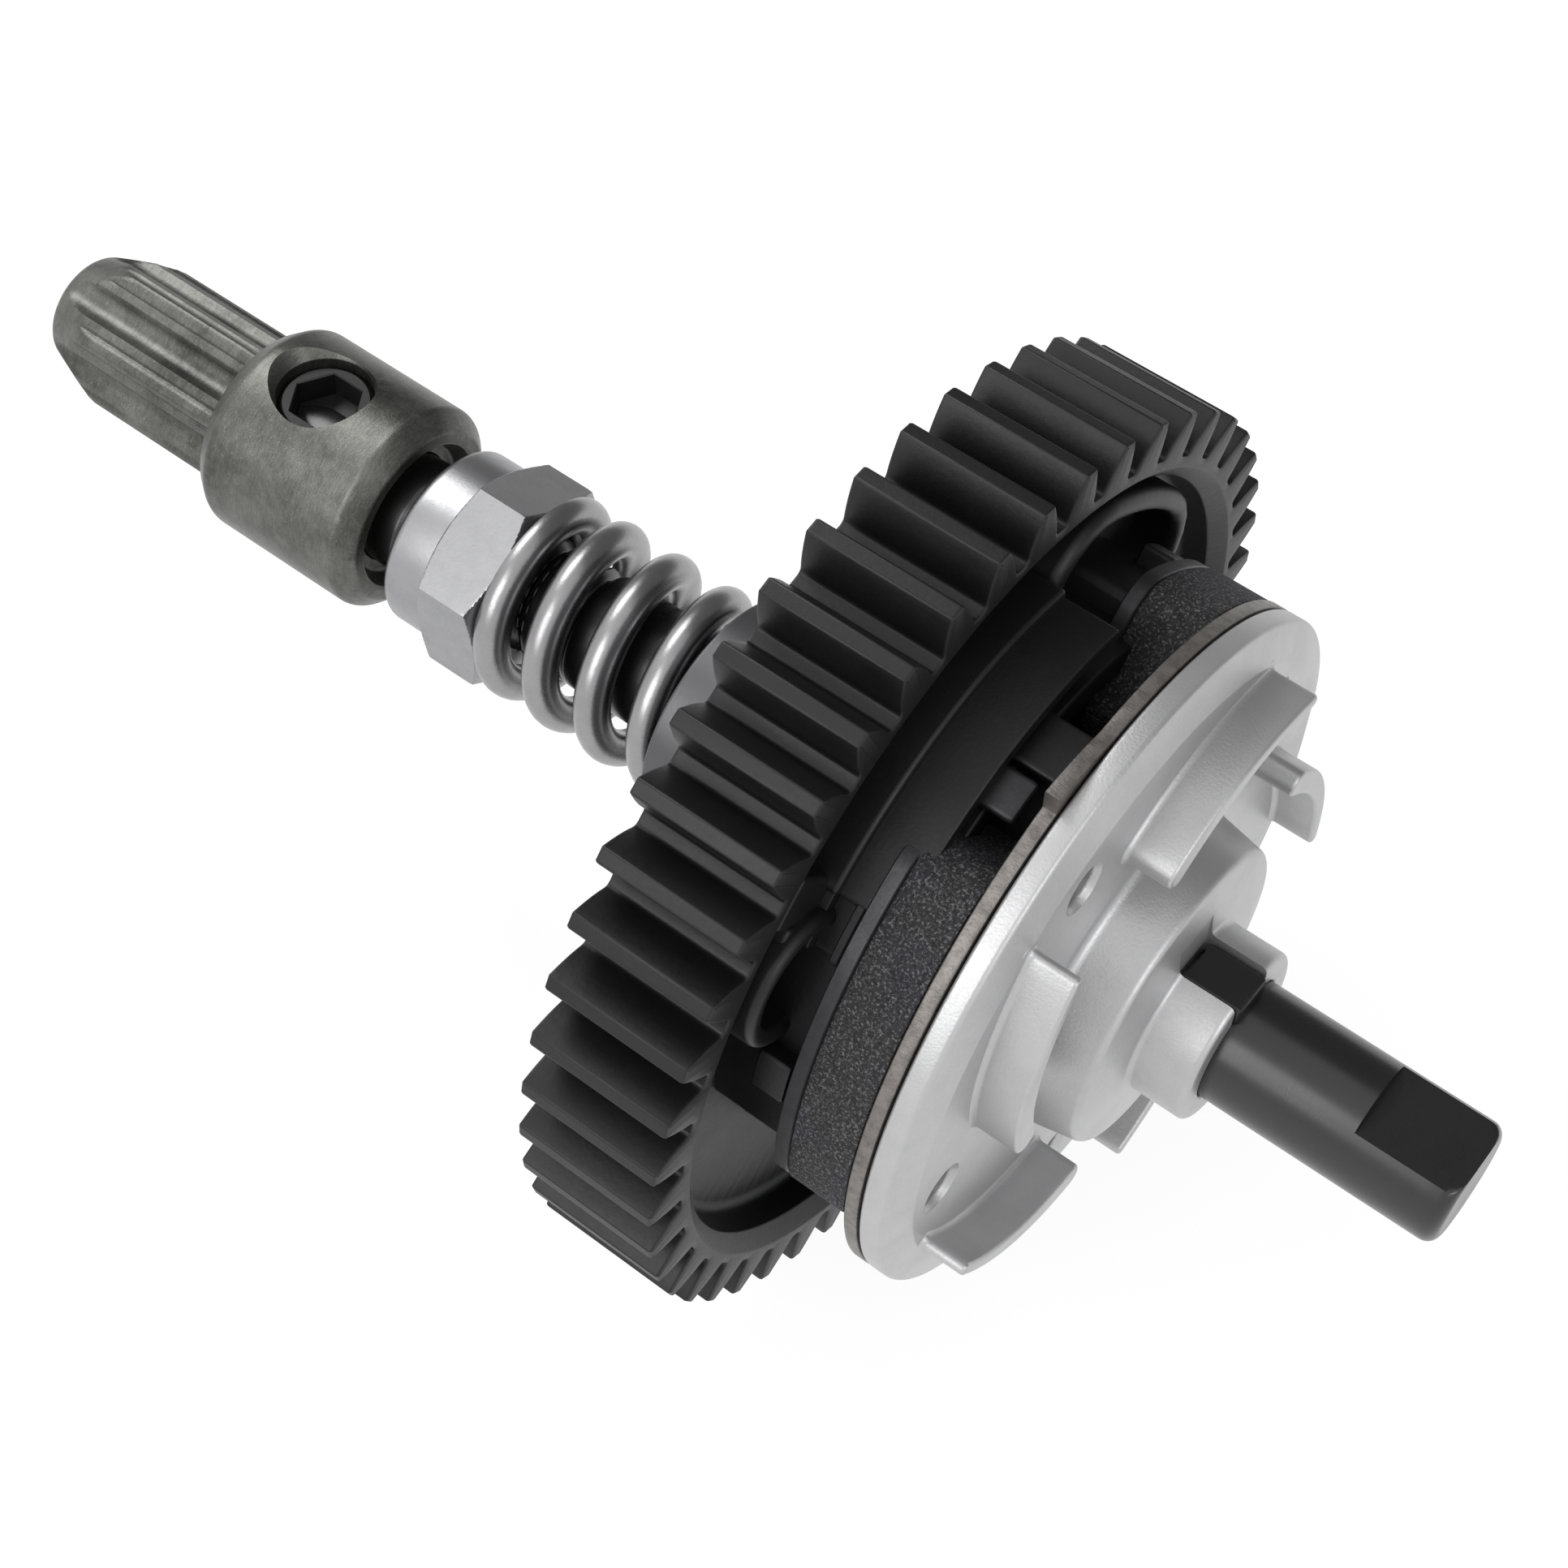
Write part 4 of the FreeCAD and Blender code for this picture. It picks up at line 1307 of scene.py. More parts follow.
@dataclass
class FinnedHub:
    """The silver hub with its fins, the pins in its holes and the steel disc."""

    left: float = 8.27
    rim_x: float = 9.15
    face_x: float = 9.65
    rim_r: float = 14.44
    face_r: float = 13.0
    body: tuple[float, float, float] = (6.8, 6.3, 12.2)
    boss: tuple[float, float, float] = (3.6, 12.45, 14.85)
    slot_half: float = 1.08
    slot_floor: float = 12.3
    fins: int = 5
    fin_outer: tuple[float, float] = (12.62, 37.2)
    fin_inner: tuple[float, float] = (9.3, 80.0)
    fin_half: tuple[float, float] = (0.27, 0.56)
    fin_x: float = 11.6
    fin_foot: float = 0.3
    fin_crest: float = 0.16
    fin_steps: int = 22
    fin_end_steps: int = 9
    hole_r: float = 0.87
    hole_ring: tuple[float, float] = (11.3, 23.5)
    neck_r: float = 5.0
    neck_x: float = -3.3
    bore: float = 2.51
    disc_x: tuple[float, float] = (7.62, 8.18)
    tab_r: float = 15.3
    tab: tuple[float, float] = (18.5, -13.0)
    tab_back: float = 26.0
    pin_r: float = 0.85
    pin_x: float = 9.2
    pin_chamfer: float = 0.15

    def fin_outline(self, inset: float) -> Profile:
        """The curved wall's outline with round ends, shrunk by inset.

        Args:
            inset: How far the outline is shrunk.

        Returns:
            The (side, height) points.
        """
        (r0, t0), (r1, t1) = self.fin_outer, self.fin_inner
        thin, thick = self.fin_half

        def mid(s: float) -> Vector:
            """A point of the wall's middle line as (side, height)."""
            r, a = r0 + (r1 - r0) * s, radians(t0 + (t1 - t0) * s)
            return Vector((r * sin(a), r * cos(a)))

        def half(s: float) -> float:
            """Half of the wall's thickness, which grows inwards."""
            return thin + (thick - thin) * ease(s) - inset

        def guide(s: float) -> tuple[Vector, Vector, Vector]:
            """Middle point and the unit directions along and across the wall."""
            along = (mid(s + 1e-3) - mid(s - 1e-3)).normalized()
            return mid(s), along, Vector((-along.y, along.x))

        def flank(sign: float) -> Profile:
            """One side of the wall from its thin end to its thick end."""
            places = between(0.0, 1.0, self.fin_steps + 1)
            return [tuple(guide(s)[0] + guide(s)[2] * (sign * half(s))) for s in places]

        def round_end(s: float, sign: float) -> Profile:
            """The half circle that closes one end.

            Args:
                s: Place along the wall from 0 to 1.
                sign: 1 at the thick end, -1 at the thin one.

            Returns:
                Its (side, height) points.
            """
            here, along, across = guide(s)
            return [tuple(here + (across * sign * cos(a) + along * sign * sin(a)) * half(s))
                    for a in between(0.0, pi, self.fin_end_steps)[1:-1]]

        return flank(1.0) + round_end(1.0, 1.0) + flank(-1.0)[::-1] + round_end(0.0, -1.0)

    def fin(self) -> Shell:
        """One fin: a fillet at its foot and a rounded crest.

        Returns:
            The fin's shell.
        """
        foot, crest = self.fin_foot, self.fin_crest
        low = [(self.face_x - 0.05 + foot * (1 - cos(a)), -foot * (1 - sin(a)))
               for a in between(0.0, pi / 2, 6)]
        top = [(self.fin_x - crest + crest * sin(a), crest - crest * cos(a))
               for a in between(0.0, pi / 2, 6)]
        return Shell().stack(self.fin_outline, [(self.face_x - 0.3, -foot)] + low + top)

    def body_shell(self) -> bpy.types.Object:
        """Rim, face, body, boss and neck as one turned piece, with holes and slot.

        Returns:
            The body without its fins.
        """
        foot_r, top_r, body_x = self.body
        boss_r, boss_foot, boss_x = self.boss
        profile = soften([
            (self.left, self.neck_r, 0.05), (self.left, self.rim_r, 0.14),
            (self.rim_x, self.rim_r, 0.22), (self.face_x, self.face_r, 0.3),
            (self.face_x, foot_r, 0.45), (body_x - 0.1, top_r + 0.05, 0.35),
            (boss_foot, boss_r, 0.25), (boss_x, boss_r, 0.28), (boss_x, self.bore, 0.12),
            (self.neck_x, self.bore, 0.05), (self.neck_x, self.neck_r, 0.1)],
            loop=True, steps=5)
        hub = Shell().lathe(profile, 180, loop=True).to_object("hub_body")
        cutters = []
        depth, flare = self.left - 1.0, 0.22
        hole = soften([(depth, 0, 0), (depth, self.hole_r, 0),
                       (self.face_x - flare, self.hole_r, 0.2),
                       (self.face_x + 0.001, self.hole_r + flare, 0.15),
                       (self.face_x + 1.0, self.hole_r + flare + 0.05, 0),
                       (self.face_x + 1.0, 0, 0)], steps=5)
        for k in range(self.fins):
            r, turn = self.hole_ring
            cutters.append(Shell().lathe(hole, 40, centre=(r, turn + 360.0 * k / self.fins))
                           .to_object(f"hole_cutter_{k}"))
        half = self.slot_half
        box = Shell().stack(lambda inset: [(-half, 0.5), (half, 0.5), (half, boss_r + 1),
                                           (-half, boss_r + 1)],
                            [(self.slot_floor, 0), (boss_x + 1, 0)])
        cutters.append(box.to_object("slot_cutter"))
        return carve(hub, cutters)

    def disc(self) -> Shell:
        """The thin steel disc with its wedge-shaped tab.

        Returns:
            The disc's shell.
        """
        left, right = self.disc_x
        start, span = self.tab
        segments, rim_mark = 360, 99.0

        def edge(turn: float) -> float:
            """Radius of the disc's rim at a turn.

            Args:
                turn: Turn in degrees.

            Returns:
                The radius.
            """
            share = (turn - (start + span)) / -span
            if not 0.0 <= share <= 1.0:
                return self.rim_r
            return self.rim_r + (self.tab_r - self.rim_r) * min(share, (1 - share) * self.tab_back
                                                          + 0.02)

        hole = self.neck_r + 0.02
        profile = soften([(left, hole, 0.03), (left, rim_mark, 0.06), (right, rim_mark, 0.06),
                          (right, hole, 0.03)], loop=True, steps=3)
        turns = [360.0 * k / segments for k in range(segments)]
        rows = [[polar(x, r if r < rim_mark / 2 else r - rim_mark + edge(turn), turn)
                 for turn in turns] for x, r in profile]
        return Shell().grid(rows, loop=True)

    def pin(self) -> Shell:
        """One pin, chamfered at its outer end.

        Returns:
            The pin's shell.
        """
        left, right, r = self.disc_x[0] + 0.03, self.pin_x, self.pin_r
        rim = r - self.pin_chamfer
        return Shell().lathe(soften([(left, 0, 0), (left, r, 0.05),
                                     (right - self.pin_chamfer, r, 0.05), (right, rim, 0.04),
                                     (right, 0, 0)]), 40, centre=self.hole_ring)

    def build(self) -> list[bpy.types.Object]:
        """Builds and dresses hub, disc and pins.

        Returns:
            The dressed pieces.
        """
        step = {"Count": self.fins, "Step": 2 * pi / self.fins, "Weld": FINE_WELD}
        fins = ring_array().apply(self.fin().to_object("fin"), "fins",
                                  {**step, "Material": Look.HUB.material()})
        hub = joined("hub_piece", self.body_shell(), fins)
        pins = ring_array().apply(self.pin().to_object("pin"), "disc_pins",
                                  {**step, "Material": Look.PIN_HOLE_SHADE.material()})
        tidy_mesh(pins, FINE_WELD)
        return [
            hand_over(hub, Look.HUB, Body.SHAFT, ["hub"]),
            hand_over(pins, Look.PIN_HOLE_SHADE, Body.SHAFT,
                      [f"disc_pin_{k + 1}" for k in range(self.fins)]),
            hand_over(self.disc().to_object("disc_piece"), Look.DISC, Body.SHAFT,
                      ["steel_disc"])]


@dataclass
class RearPlate:
    """The plate behind the gear with the cup that holds the spring."""

    right: float = -1.9
    left: float = -3.8
    plate_r: float = 14.0
    cup_r: float = 4.9
    cup_bore: float = 4.47
    cup_rim: float = -9.4
    cup_floor: float = -7.8
    bore: float = 2.51
    socket_r: float = 5.02
    socket_x: float = -3.35
    shoulder_r: float = 2.4
    shoulder_x: float = 1.2

    def build(self) -> list[bpy.types.Object]:
        """Builds and dresses the plate.

        Returns:
            The dressed pieces.
        """
        profile = soften([
            (self.socket_x, self.bore, 0.05), (self.socket_x, self.socket_r, 0.05),
            (self.right, self.socket_r, 0.05), (self.right, self.plate_r, 0.25),
            (self.left, self.plate_r, 0.35), (self.left, self.cup_r + self.shoulder_r, 0.3),
            (self.left - self.shoulder_x, self.cup_r, 0.6), (self.cup_rim, self.cup_r, 0.14),
            (self.cup_rim, self.cup_bore, 0.1), (self.cup_floor, self.cup_bore, 0.2),
            (self.cup_floor, self.bore, 0.1)], loop=True, steps=5)
        plate = Shell().lathe(profile, 160, loop=True).to_object("rear_plate_piece")
        return [hand_over(plate, Look.PLATE, Body.SHAFT, ["rear_plate"])]


@dataclass
class PressureSpring:
    """The compression spring with closed, ground ends."""

    wire: float = 1.5
    radius: float = 3.66
    pitch: float = 2.65
    closed_pitch: float = 1.52
    active: float = 3.62
    closed: float = 0.72
    turn: float = 120.0
    left: float = -18.6
    right: float = -7.8
    points: int = 400

    def build(self) -> list[bpy.types.Object]:
        """Winds the wire, grinds its ends flat and dresses it.

        Returns:
            The dressed pieces.
        """
        mesh = bpy.data.meshes.new("spring_seed")
        seed = placed("spring_seed", mesh)
        spring = coil_tree().apply(seed, "spring_piece", {
            "Points": self.points, "Start X": (self.left + self.wire / 2) * MM,
            "Radius": self.radius * MM, "Wire": self.wire * MM, "Pitch": self.pitch * MM,
            "Closed Pitch": self.closed_pitch * MM, "Active Turns": self.active,
            "Closed Turns": self.closed, "Start Turn": radians(self.turn),
            "Material": Look.BRIGHT.material()})
        self.grind(spring)
        return [hand_over(spring, Look.BRIGHT, Body.SPRING, ["spring"])]

    def grind(self, spring: bpy.types.Object) -> None:
        """Cuts both ends flat and closes the cuts.

        Args:
            spring: The wound wire.
        """
        work = bmesh.new()
        work.from_mesh(spring.data)
        for x, way in ((self.left, -1), (self.right, 1)):
            found = bmesh.ops.bisect_plane(
                work, geom=work.verts[:] + work.edges[:] + work.faces[:], dist=1e-7,
                plane_co=(x * MM, 0, 0), plane_no=(way, 0, 0), clear_outer=True)
            rim = [e for e in found["geom_cut"] if isinstance(e, bmesh.types.BMEdge)]
            bmesh.ops.contextual_create(work, geom=rim)
        bmesh.ops.holes_fill(work, edges=[e for e in work.edges if e.is_boundary], sides=0)
        work.to_mesh(spring.data)
        work.free()
        tidy_mesh(spring, FINE_WELD, 40.0)


@dataclass
class LockNut:
    """The lock nut with its round collar and nylon ring."""

    flats: float = 8.0
    right: float = -18.6
    hex_length: float = 3.0
    height: float = 5.05
    collar_r: float = 3.95
    turn: float = 2.5
    bore: float = 2.55
    ring_r: float = 3.3
    ring_x: tuple[float, float] = (0.35, 1.6)
    chamfer_slope: float = 2.1
    chamfer_step: float = 0.04
    chamfer_rows: int = 10

    def hex_radius(self, turn: float) -> float:
        """Distance from the axis to the hexagon's flats at a turn."""
        off = (turn - self.turn + 30.0) % 60.0 - 30.0
        return self.flats / 2 / cos(radians(30.0 - abs(off)))

    def cone(self, x: float) -> float:
        """Radius of the chamfers' cones at x.

        Args:
            x: Place along the shaft.

        Returns:
            The radius.
        """
        corner = self.flats / 2 / cos(pi / 6)
        left = self.right - self.hex_length
        from_left = self.flats / 2 - 0.02 + (x - left) * self.chamfer_slope
        from_right = self.flats / 2 - 0.16 + (self.right - x) * self.chamfer_slope
        return min(corner, from_left, from_right)

    def build(self) -> list[bpy.types.Object]:
        """Builds and dresses nut and ring.

        Returns:
            The dressed pieces.
        """
        segments = 240
        turns = [360.0 * k / segments + self.turn for k in range(segments)]
        left, end = self.right - self.hex_length, self.right - self.height
        lip = self.ring_r - 0.3
        near, far = (end + x for x in self.ring_x)
        inside = soften([
            (left - 0.04, self.collar_r, 0.0), (end, self.collar_r, 0.42), (end, lip, 0.1),
            (near, lip, 0.05), (near, self.ring_r, 0.0), (far, self.ring_r, 0.0),
            (far, self.bore, 0.0), (self.right - 0.3, self.bore, 0.05),
            (self.right, self.bore + 0.3, 0.04)], steps=6)
        rows = [[polar(self.right, self.flats / 2 - 0.4, turn) for turn in turns]]
        step, count = self.chamfer_step, self.chamfer_rows
        stations = ([self.right - step * k for k in range(count)]
                    + between(self.right - 0.6, left + 0.6, 6)
                    + [left + step * k for k in range(count - 1, -1, -1)])
        rows += [[polar(x, min(self.hex_radius(turn), self.cone(x)), turn) for turn in turns]
                 for x in stations]
        rows += [[polar(x, r, turn) for turn in turns] for x, r in inside]
        nut = Shell().grid(rows, loop=True).to_object("lock_nut_piece", sharp=24.0)
        hole, skin = self.bore - 0.03, self.ring_r - 0.02
        ring = Shell().lathe(soften([(near + 0.01, hole, 0.1), (near + 0.01, skin, 0.1),
                                     (far - 0.01, skin, 0.1), (far - 0.01, hole, 0.1)],
                                    loop=True), 96, loop=True).to_object("nylon_ring_piece")
        return [hand_over(nut, Look.NUT, Body.NUT, ["lock_nut"]),
                hand_over(ring, Look.RING, Body.NUT, ["nylon_ring"])]


@dataclass
class ShaftLine:
    """The black shaft with its thread and flat, and the key in the hub's slot."""

    r: float = 2.5
    seat_r: float = 2.49
    left: float = -31.5
    right: float = 24.7
    seat_end: float = 15.02
    thread: tuple[float, float] = (-24.5, -15.2)
    thread_pitch: float = 0.8
    thread_depth: float = 0.42
    thread_run: float = 0.8
    crest_share: float = 0.12
    flank_share: float = 0.74
    heel: float = 0.4
    flat_x: float = 20.53
    flat_z: float = 1.8
    segments: int = 96
    turn_step: float = 3.75
    crease_gap: float = 1.5
    tip_round: float = 0.55
    key_x: tuple[float, float] = (12.6, 15.0)
    key_half: float = 0.96
    key_z: tuple[float, float] = (1.3, 3.2)

    def thread_cut(self, x: float, turn: float) -> float:
        """How deep the thread is at this place.

        Args:
            x: Place along the shaft.
            turn: Turn in degrees.

        Returns:
            The depth.
        """
        start, stop = self.thread
        share = ease((x - start) / self.thread_run) * ease((stop - x) / self.thread_run)
        phase = ((x - start) / self.thread_pitch - turn / 360.0) % 1.0
        wave = abs(phase * 2 - 1)
        return self.thread_depth * share * max(
            0.0, min(1.0, (wave - self.crest_share) / self.flank_share))

    def radius(self, x: float, turn: float) -> float:
        """Radius of the shaft's skin.

        Args:
            x: Place along the shaft.
            turn: Turn in degrees.

        Returns:
            The radius.
        """
        r = self.r if x >= self.seat_end else self.seat_r
        if self.thread[0] < x < self.thread[1]:
            r -= self.thread_cut(x, turn)
        from_tip = self.tip_round - (self.right - x)
        if from_tip > 0:
            r = self.r - self.tip_round + sqrt(max(0.0, self.tip_round ** 2 - from_tip ** 2))
        heel = self.heel - (x - self.left)
        if heel > 0:
            r -= heel
        if x > self.flat_x and cos(radians(turn)) > 0:
            r = min(r, self.flat_z / cos(radians(turn)))
        return r

    def shaft(self) -> Shell:
        """The shaft as one skin, with a row wherever its form changes.

        Returns:
            The shaft's shell.
        """
        crease = degrees(acos(self.flat_z / self.r))
        creases = [crease, 360 - crease]
        turns = sorted([turn for turn in (k * self.turn_step for k in range(self.segments))
                        if all(abs(turn - place) > self.crease_gap for place in creases)]
                       + creases)
        start, stop = self.thread
        stations = [self.left, self.left + self.heel, -27.0]
        stations += between(start, stop, 233)
        stations += [-12.0, -6.0, 0.0, 6.0, 12.0, self.seat_end - 0.001, self.seat_end,
                     17.0, 19.0, self.flat_x, self.flat_x + 0.002]
        stations += between(self.flat_x + 0.4, self.right - self.tip_round, 6)
        stations += [self.right - self.tip_round + self.tip_round * sin(a)
                     for a in between(0.0, pi / 2, 9)[1:]]
        rows = [[polar(x, self.radius(x, turn), turn) for turn in turns] for x in stations]
        return Shell().grid(rows)

    def key(self) -> Shell:
        """The key block with softened edges.

        Returns:
            The key's shell.
        """
        x0, x1 = self.key_x
        z0, z1 = self.key_z
        half, corner = self.key_half, 0.16

        def outline(inset: float) -> Profile:
            """Rounded rectangle.

            Args:
                inset: How far the outline is shrunk.

            Returns:
                The (side, height) points.
            """
            points: Profile = []
            for cy, cz, first in ((half - corner, z1 - corner, 0.0),
                                  (half - corner, z0 + corner, pi / 2),
                                  (-half + corner, z0 + corner, pi),
                                  (-half + corner, z1 - corner, 3 * pi / 2)):
                points += [(cy + (corner - inset) * sin(first + a),
                            cz + (corner - inset) * cos(first + a))
                           for a in between(0.0, pi / 2, 5)]
            return points

        return Shell().stack(outline, [(x0, 0.0), (x1 - 0.16, 0.0), (x1 - 0.06, 0.04),
                                       (x1, 0.13)])

    def build(self) -> list[bpy.types.Object]:
        """Builds and dresses shaft and key.

        Returns:
            The dressed pieces.
        """
        return [hand_over(self.shaft().to_object("shaft_piece", sharp=38.0), Look.SHAFT,
                          Body.SHAFT, ["shaft"]),
                hand_over(self.key().to_object("key_piece"), Look.KEY, Body.SHAFT,
                          ["drive_key"])]


@dataclass
class Yoke:
    """The cast yoke with its spline and the set screw in its collar."""

    collar_r: float = 4.65
    left: float = -33.6
    right: float = -25.0
    spline_r: float = 3.45
    spline_left: float = -44.0
    taper: float = 3.0
    tip_r: float = 2.35
    tip_round: float = 0.35
    valley_turn: float = 22.5
    valley_half: float = 2.6
    valley_depth: float = 0.1
    root_r: float = 3.7
    root_swell: float = 0.5
    mouth: float = 0.3
    mouth_lean: float = 0.9
    sides: int = 6
    turn: float = -4.0
    groove_r: float = 0.75
    groove_depth: float = 0.45
    bore: float = 2.51
    bore_left: float = -31.8
    screw_x: float = -29.8
    screw_r: float = 2.0
    screw_top: float = 3.72
    screw_seat: float = 1.91
    socket_flats: float = 2.66
    socket_depth: float = 1.2
    mouth_turn: float = 153.0

    def spline_radius(self, x: float, turn: float) -> float:
        """Radius of the spline's skin.

        Args:
            x: Place along the shaft.
            turn: Turn in degrees.

        Returns:
            The radius.
        """
        step = 360.0 / self.sides
        off = (turn - self.turn) % step - step / 2
        flat = self.spline_r * cos(pi / self.sides)
        r = min(flat / cos(radians(off)), self.spline_r - 0.03)
        centre = flat + self.groove_r - self.groove_depth
        across = centre * sin(radians(off))
        if abs(across) < self.groove_r:
            reach = centre * cos(radians(off)) - sqrt(self.groove_r ** 2 - across ** 2)
            r = min(r, reach)
        near = abs(abs(off) - self.valley_turn)
        r -= self.valley_depth * ease(1 - near / self.valley_half)
        share = max(0.0, 1 - (x - self.spline_left) / self.taper)
        cone = self.spline_r + 0.03 - (self.spline_r - self.tip_r) * share
        r = min(r, cone)
        rounding = self.tip_round - (x - self.spline_left)
        if rounding > 0:
            r -= self.tip_round - sqrt(max(0.0, self.tip_round ** 2 - rounding ** 2))
        return r

    def casting(self) -> bpy.types.Object:
        """Spline, collar and bore as one skin with the screw's hole.

        Returns:
            The casting.
        """
        segments = 288
        turns = [360.0 * k / segments + self.turn for k in range(segments)]
        fillet = self.tip_round
        spline_x = ([self.spline_left + fillet * (1 - cos(a)) for a in between(0, pi / 2, 6)]
                    + between(self.spline_left + 0.6, self.spline_left + self.taper, 8)
                    + between(self.spline_left + self.taper + 0.5, self.left - fillet, 8))
        rows = [[polar(x, self.spline_radius(x, turn), turn) for turn in turns]
                for x in spline_x]
        foot = self.left
        for share in (0.3, 0.7, 1.0):
            x = foot - fillet + fillet * share
            swell = self.root_swell * share ** 2
            rows.append([polar(x, min(self.spline_radius(x, turn) + swell, self.root_r), turn)
                         for turn in turns])
        profile = soften([
            (foot, 3.75, 0.0), (foot + 0.12, self.collar_r - 0.55, 0.3),
            (foot + 0.85, self.collar_r, 0.7), (self.right - 0.75, self.collar_r, 0.5),
            (self.right, self.collar_r - 0.75, 0.25), (self.right, 3.35, 0.2),
            (self.right - 0.9, 3.0, 0.2), (self.right - 0.9, self.bore, 0.05),
            (self.bore_left, self.bore, 0.0), (self.bore_left, 0.0, 0.0)], steps=6)
        rows += [[polar(x, r, turn) for turn in turns] for x, r in profile]
        body = Shell().grid(rows).to_object("yoke_piece")
        return carve(body, [self.hole_cutter()])

    def hole_cutter(self) -> bpy.types.Object:
        """The screw's hole with its widened mouth.

        Returns:
            The closed shape that is cut out.
        """
        hole_r, out = self.screw_r + 0.02, self.collar_r + 2.0
        profile = soften([(1.0, 0, 0), (1.0, hole_r, 0), (self.collar_r - 0.6, hole_r, 0.15),
                          (self.collar_r + 0.05, hole_r + self.mouth, 0.1),
                          (out, self.screw_r + 2 * self.mouth, 0), (out, 0, 0)], steps=5)

        def shape(height: float, r: float, turn: float) -> float:
            """The mouth leans to one side, as a drill that ran out leaves it."""
            wide = max(0.0, r - hole_r)
            return r + self.mouth_lean * wide * cos(radians(turn - self.mouth_turn))

        return self.upright(profile, shape).to_object("screw_hole_cutter")

    def upright(self, profile: Profile, shape: Callable[[float, float, float], float]
                ) -> Shell:
        """Turns a profile of (height, radius) about the screw's axis.

        Args:
            profile: The (height, radius) points.
            shape: Gives the radius for a height, radius and turn.

        Returns:
            The turned shell.
        """
        segments = 96
        rows = []
        for height, r in profile:
            ring = []
            for k in range(segments):
                a = 2 * pi * k / segments
                reach = shape(height, r, degrees(a))
                ring.append(Vector((self.screw_x + reach * cos(a), reach * sin(a), height)))
            rows.append(ring)
        return Shell().grid(rows)

    def screw(self) -> Shell:
        """The set screw with its hexagon socket.

        Returns:
            The screw's shell.
        """
        corner = self.socket_flats / 2 / cos(pi / 6)
        top, low = self.screw_top, self.screw_seat
        socket = -1.0  # stands for the hexagon's own radius
        profile = soften([(low, 0, 0), (low, self.screw_r - 0.2, 0.05),
                          (low + 0.2, self.screw_r, 0.05), (top - 0.22, self.screw_r, 0.1),
                          (top, self.screw_r - 0.22, 0.08)], steps=4)
        profile += [(top, corner + 0.12)]
        profile += [(top, socket), (top - 0.06, socket), (top - self.socket_depth, socket),
                    (top - self.socket_depth - 0.25, 0.0)]

        def shape(height: float, r: float, turn: float) -> float:
            """A hexagon where the profile asks for one.

            Args:
                height: Place along the screw's axis.
                r: The profile's radius there.
                turn: Turn in degrees.

            Returns:
                The radius.
            """
            if r != socket:
                return r
            off = (turn + 30.0) % 60.0 - 30.0
            wide = 0.05 if height >= top else 0.0
            return (self.socket_flats / 2 + wide) / cos(radians(30.0 - abs(off)))

        return self.upright(profile, shape)

    def build(self) -> list[bpy.types.Object]:
        """Builds and dresses yoke and screw.

        Returns:
            The dressed pieces.
        """
        return [hand_over(self.casting(), Look.YOKE, Body.SHAFT, ["yoke"]),
                hand_over(self.screw().to_object("set_screw_piece"), Look.SCREW,
                          Body.SHAFT, ["set_screw"])]


# Studio


@dataclass(frozen=True)
class Lamp:
    """One area lamp that looks at a point of the object."""

    name: str
    place: tuple[float, float, float]
    aim: tuple[float, float, float]
    size: tuple[float, float]
    power: float

    def build(self) -> bpy.types.Object:
        """Makes the lamp.

        Returns:
            The lamp.
        """
        data = bpy.data.lights.new(self.name, "AREA")
        data.shape, data.size, data.size_y = "RECTANGLE", self.size[0] * MM, self.size[1] * MM
        data.energy = self.power
        lamp = placed(self.name, data)
        lamp.location = Vector(self.place) * MM
        look = Vector(self.aim) - Vector(self.place)
        lamp.rotation_euler = look.to_track_quat("-Z", "Y").to_euler()
        return lamp


def sheet(name: str, corners: Sequence[Corner], material: bpy.types.Material
          ) -> bpy.types.Object:
    """A flat sheet with four corners.

    Args:
        name: The sheet's name.
        corners: Its corners in metres.
        material: Its material.

    Returns:
        The sheet.
    """
    mesh = bpy.data.meshes.new(name)
    mesh.from_pydata(corners, [], [(0, 1, 2, 3)])
    mesh.materials.append(material)
    return placed(name, mesh)


@dataclass(frozen=True)
class Card:
    """A dark card behind the object that only mirror-like surfaces see."""

    name: str
    corners: tuple[Corner, ...]
    level: float

    def build(self) -> bpy.types.Object:
        """Makes the card.

        Returns:
            The card.
        """
        paint = Paint(self.name)
        paint.surface(paint.out("ShaderNodeEmission", {}, {"Strength": self.level}))
        card = sheet(self.name, [Vector(c) * MM for c in self.corners], paint.material)
        card.visible_camera = card.visible_diffuse = card.visible_shadow = False
        return card


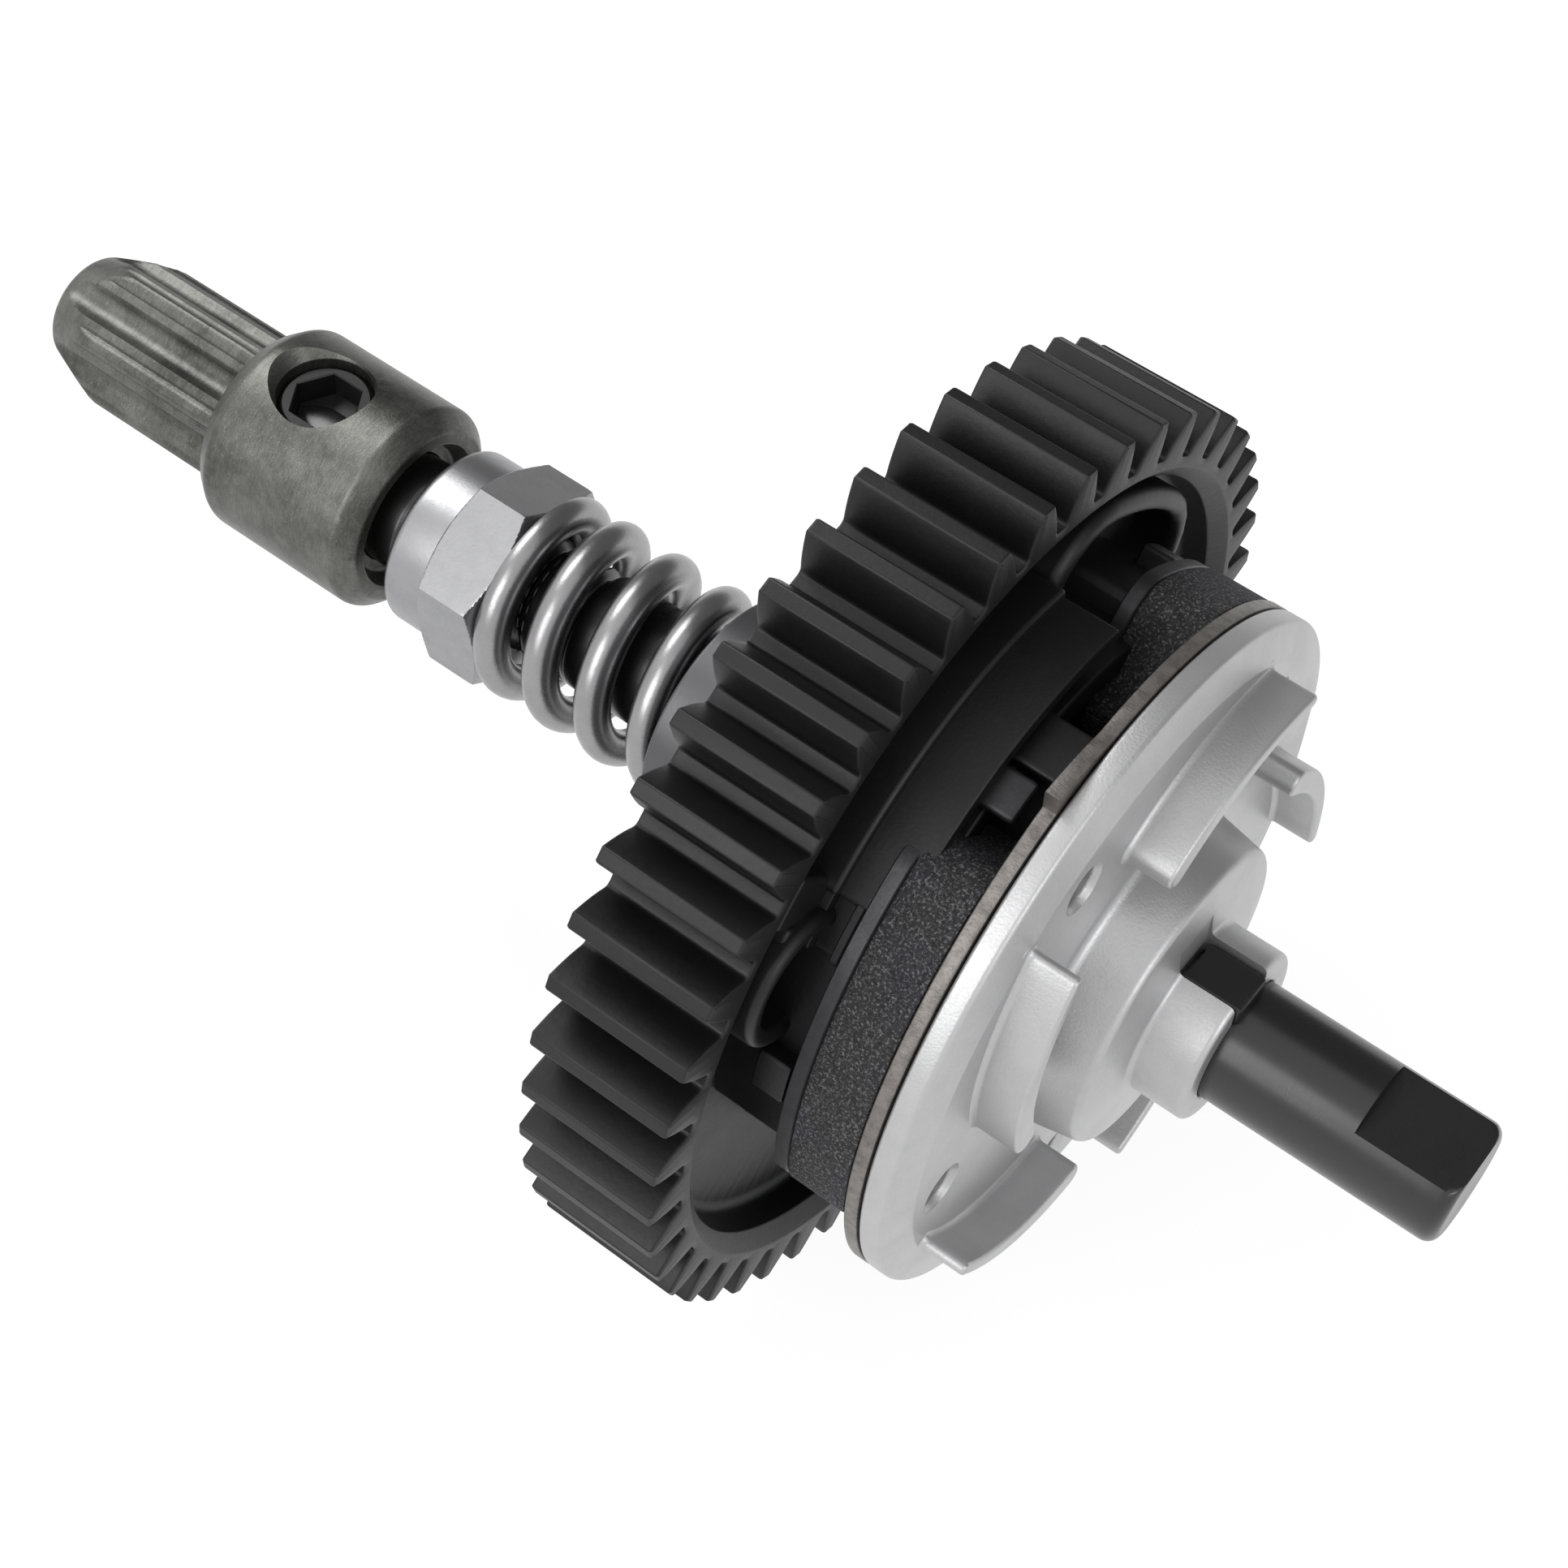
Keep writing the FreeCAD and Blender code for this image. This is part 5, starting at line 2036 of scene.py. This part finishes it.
@dataclass
class Studio:
    """Camera, lamps, world and floor of the product photograph."""

    lens: float = 67.189
    sensor: float = 36.0
    clip: tuple[float, float] = (0.001, 10.0)
    eye: tuple[float, float, float] = (32.364, -55.656, 92.299)
    right: tuple[float, float, float] = (0.79343, 0.60761, 0.0357)
    up: tuple[float, float, float] = (-0.51134, 0.6336, 0.58059)
    back: tuple[float, float, float] = (0.33016, -0.47891, 0.81341)
    world_level: float = 0.3
    floor_half: float = 2.0
    floor_drop: float = 0.4
    floor_shade: float = 0.9
    shadow_share: float = 0.2
    lamps: tuple[Lamp, ...] = (
        Lamp("key_lamp", (-55, -170, 125), (0, 0, 0), (110, 150), 0.17),
        Lamp("top_lamp", (-150, 40, 180), (0, 0, 0), (120, 90), 0.2),
        Lamp("end_lamp", (190, -50, 120), (0, 0, 0), (90, 90), 0.09),
    )
    cards: tuple[Card, ...] = (
        Card("far_card", ((-700, 300, -10), (700, 300, -10), (700, 300, 900),
                          (-700, 300, 900)), 0.2),
    )

    def camera(self) -> None:
        """Sets up the camera that was solved from the photograph."""
        data = bpy.data.cameras.new("camera")
        data.lens, data.sensor_width = self.lens, self.sensor
        data.clip_start, data.clip_end = self.clip
        data.dof.use_dof = False
        eye = placed("camera", data)
        turn = Matrix((self.right, self.up, self.back)).transposed().to_4x4()
        eye.matrix_world = Matrix.Translation(Vector(self.eye) * MM) @ turn
        bpy.context.scene.camera = eye

    @staticmethod
    def seen(nodes: Nodes) -> Sock:
        """Tells the rays that see the background from those that only light.

        Args:
            nodes: The tree that asks.

        Returns:
            1 for camera, glossy and transmission rays, else 0.
        """
        path = nodes.add("ShaderNodeLightPath", {}, {})
        found = Sock(nodes, path.outputs["Is Camera Ray"])
        for name in ("Is Glossy Ray", "Is Transmission Ray"):
            found = nodes.math("MAXIMUM", found, Sock(nodes, path.outputs[name]))
        return found

    def world(self) -> None:
        """White where it is seen, a plain grey as light."""
        world = bpy.data.worlds.new("studio")
        world.use_nodes = True
        nodes = Nodes(world.node_tree)
        shade = nodes.tree.nodes["Background"]
        nodes.feed(shade.inputs["Strength"], nodes.out(
            "ShaderNodeMix", {}, {0: self.seen(nodes), 2: self.world_level, 3: 1.0}))
        nodes.feed(shade.inputs["Color"], (1.0, 1.0, 1.0, 1.0))
        bpy.context.scene.world = world

    def floor(self) -> None:
        """A white floor under the gear that keeps a faint shadow."""
        half, depth = self.floor_half, CAD_BOX[0][2] - self.floor_drop * MM
        share, dull = self.shadow_share, self.floor_shade
        paper = Paint("white_paper")
        glow = paper.out("ShaderNodeEmission", {}, {"Strength": 1 - share / 2})
        faint = paper.out("ShaderNodeBsdfDiffuse", {}, {"Color": (share, share, share, 1.0)})
        plain_side = paper.out("ShaderNodeBsdfDiffuse", {}, {"Color": (dull, dull, dull, 1.0)})
        seen_side = paper.out("ShaderNodeAddShader", {}, {0: glow, 1: faint})
        paper.surface(paper.out("ShaderNodeMixShader", {}, {
            0: self.seen(paper), 1: plain_side, 2: seen_side}))
        sheet("floor", [(-half, -half, depth), (half, -half, depth),
                                 (half, half, depth), (-half, half, depth)], paper.material)

    def build(self) -> None:
        """Builds the studio."""
        self.camera()
        self.world()
        self.floor()
        [thing.build() for thing in self.lamps + self.cards]
        bpy.context.scene.view_settings.view_transform = "Standard"


def main() -> None:
    """Builds every sub-assembly and the studio."""
    logging.basicConfig(level=logging.INFO, format="%(message)s")
    for assembly in (GearBody(), Blocks(), FinnedHub(), RearPlate(), PressureSpring(),
                     LockNut(), ShaftLine(), Yoke()):
        pieces = assembly.build()
        LOG.info("%s done: %d pieces", type(assembly).__name__, len(pieces))
    Studio().build()


if __name__ == "__main__":
    main()
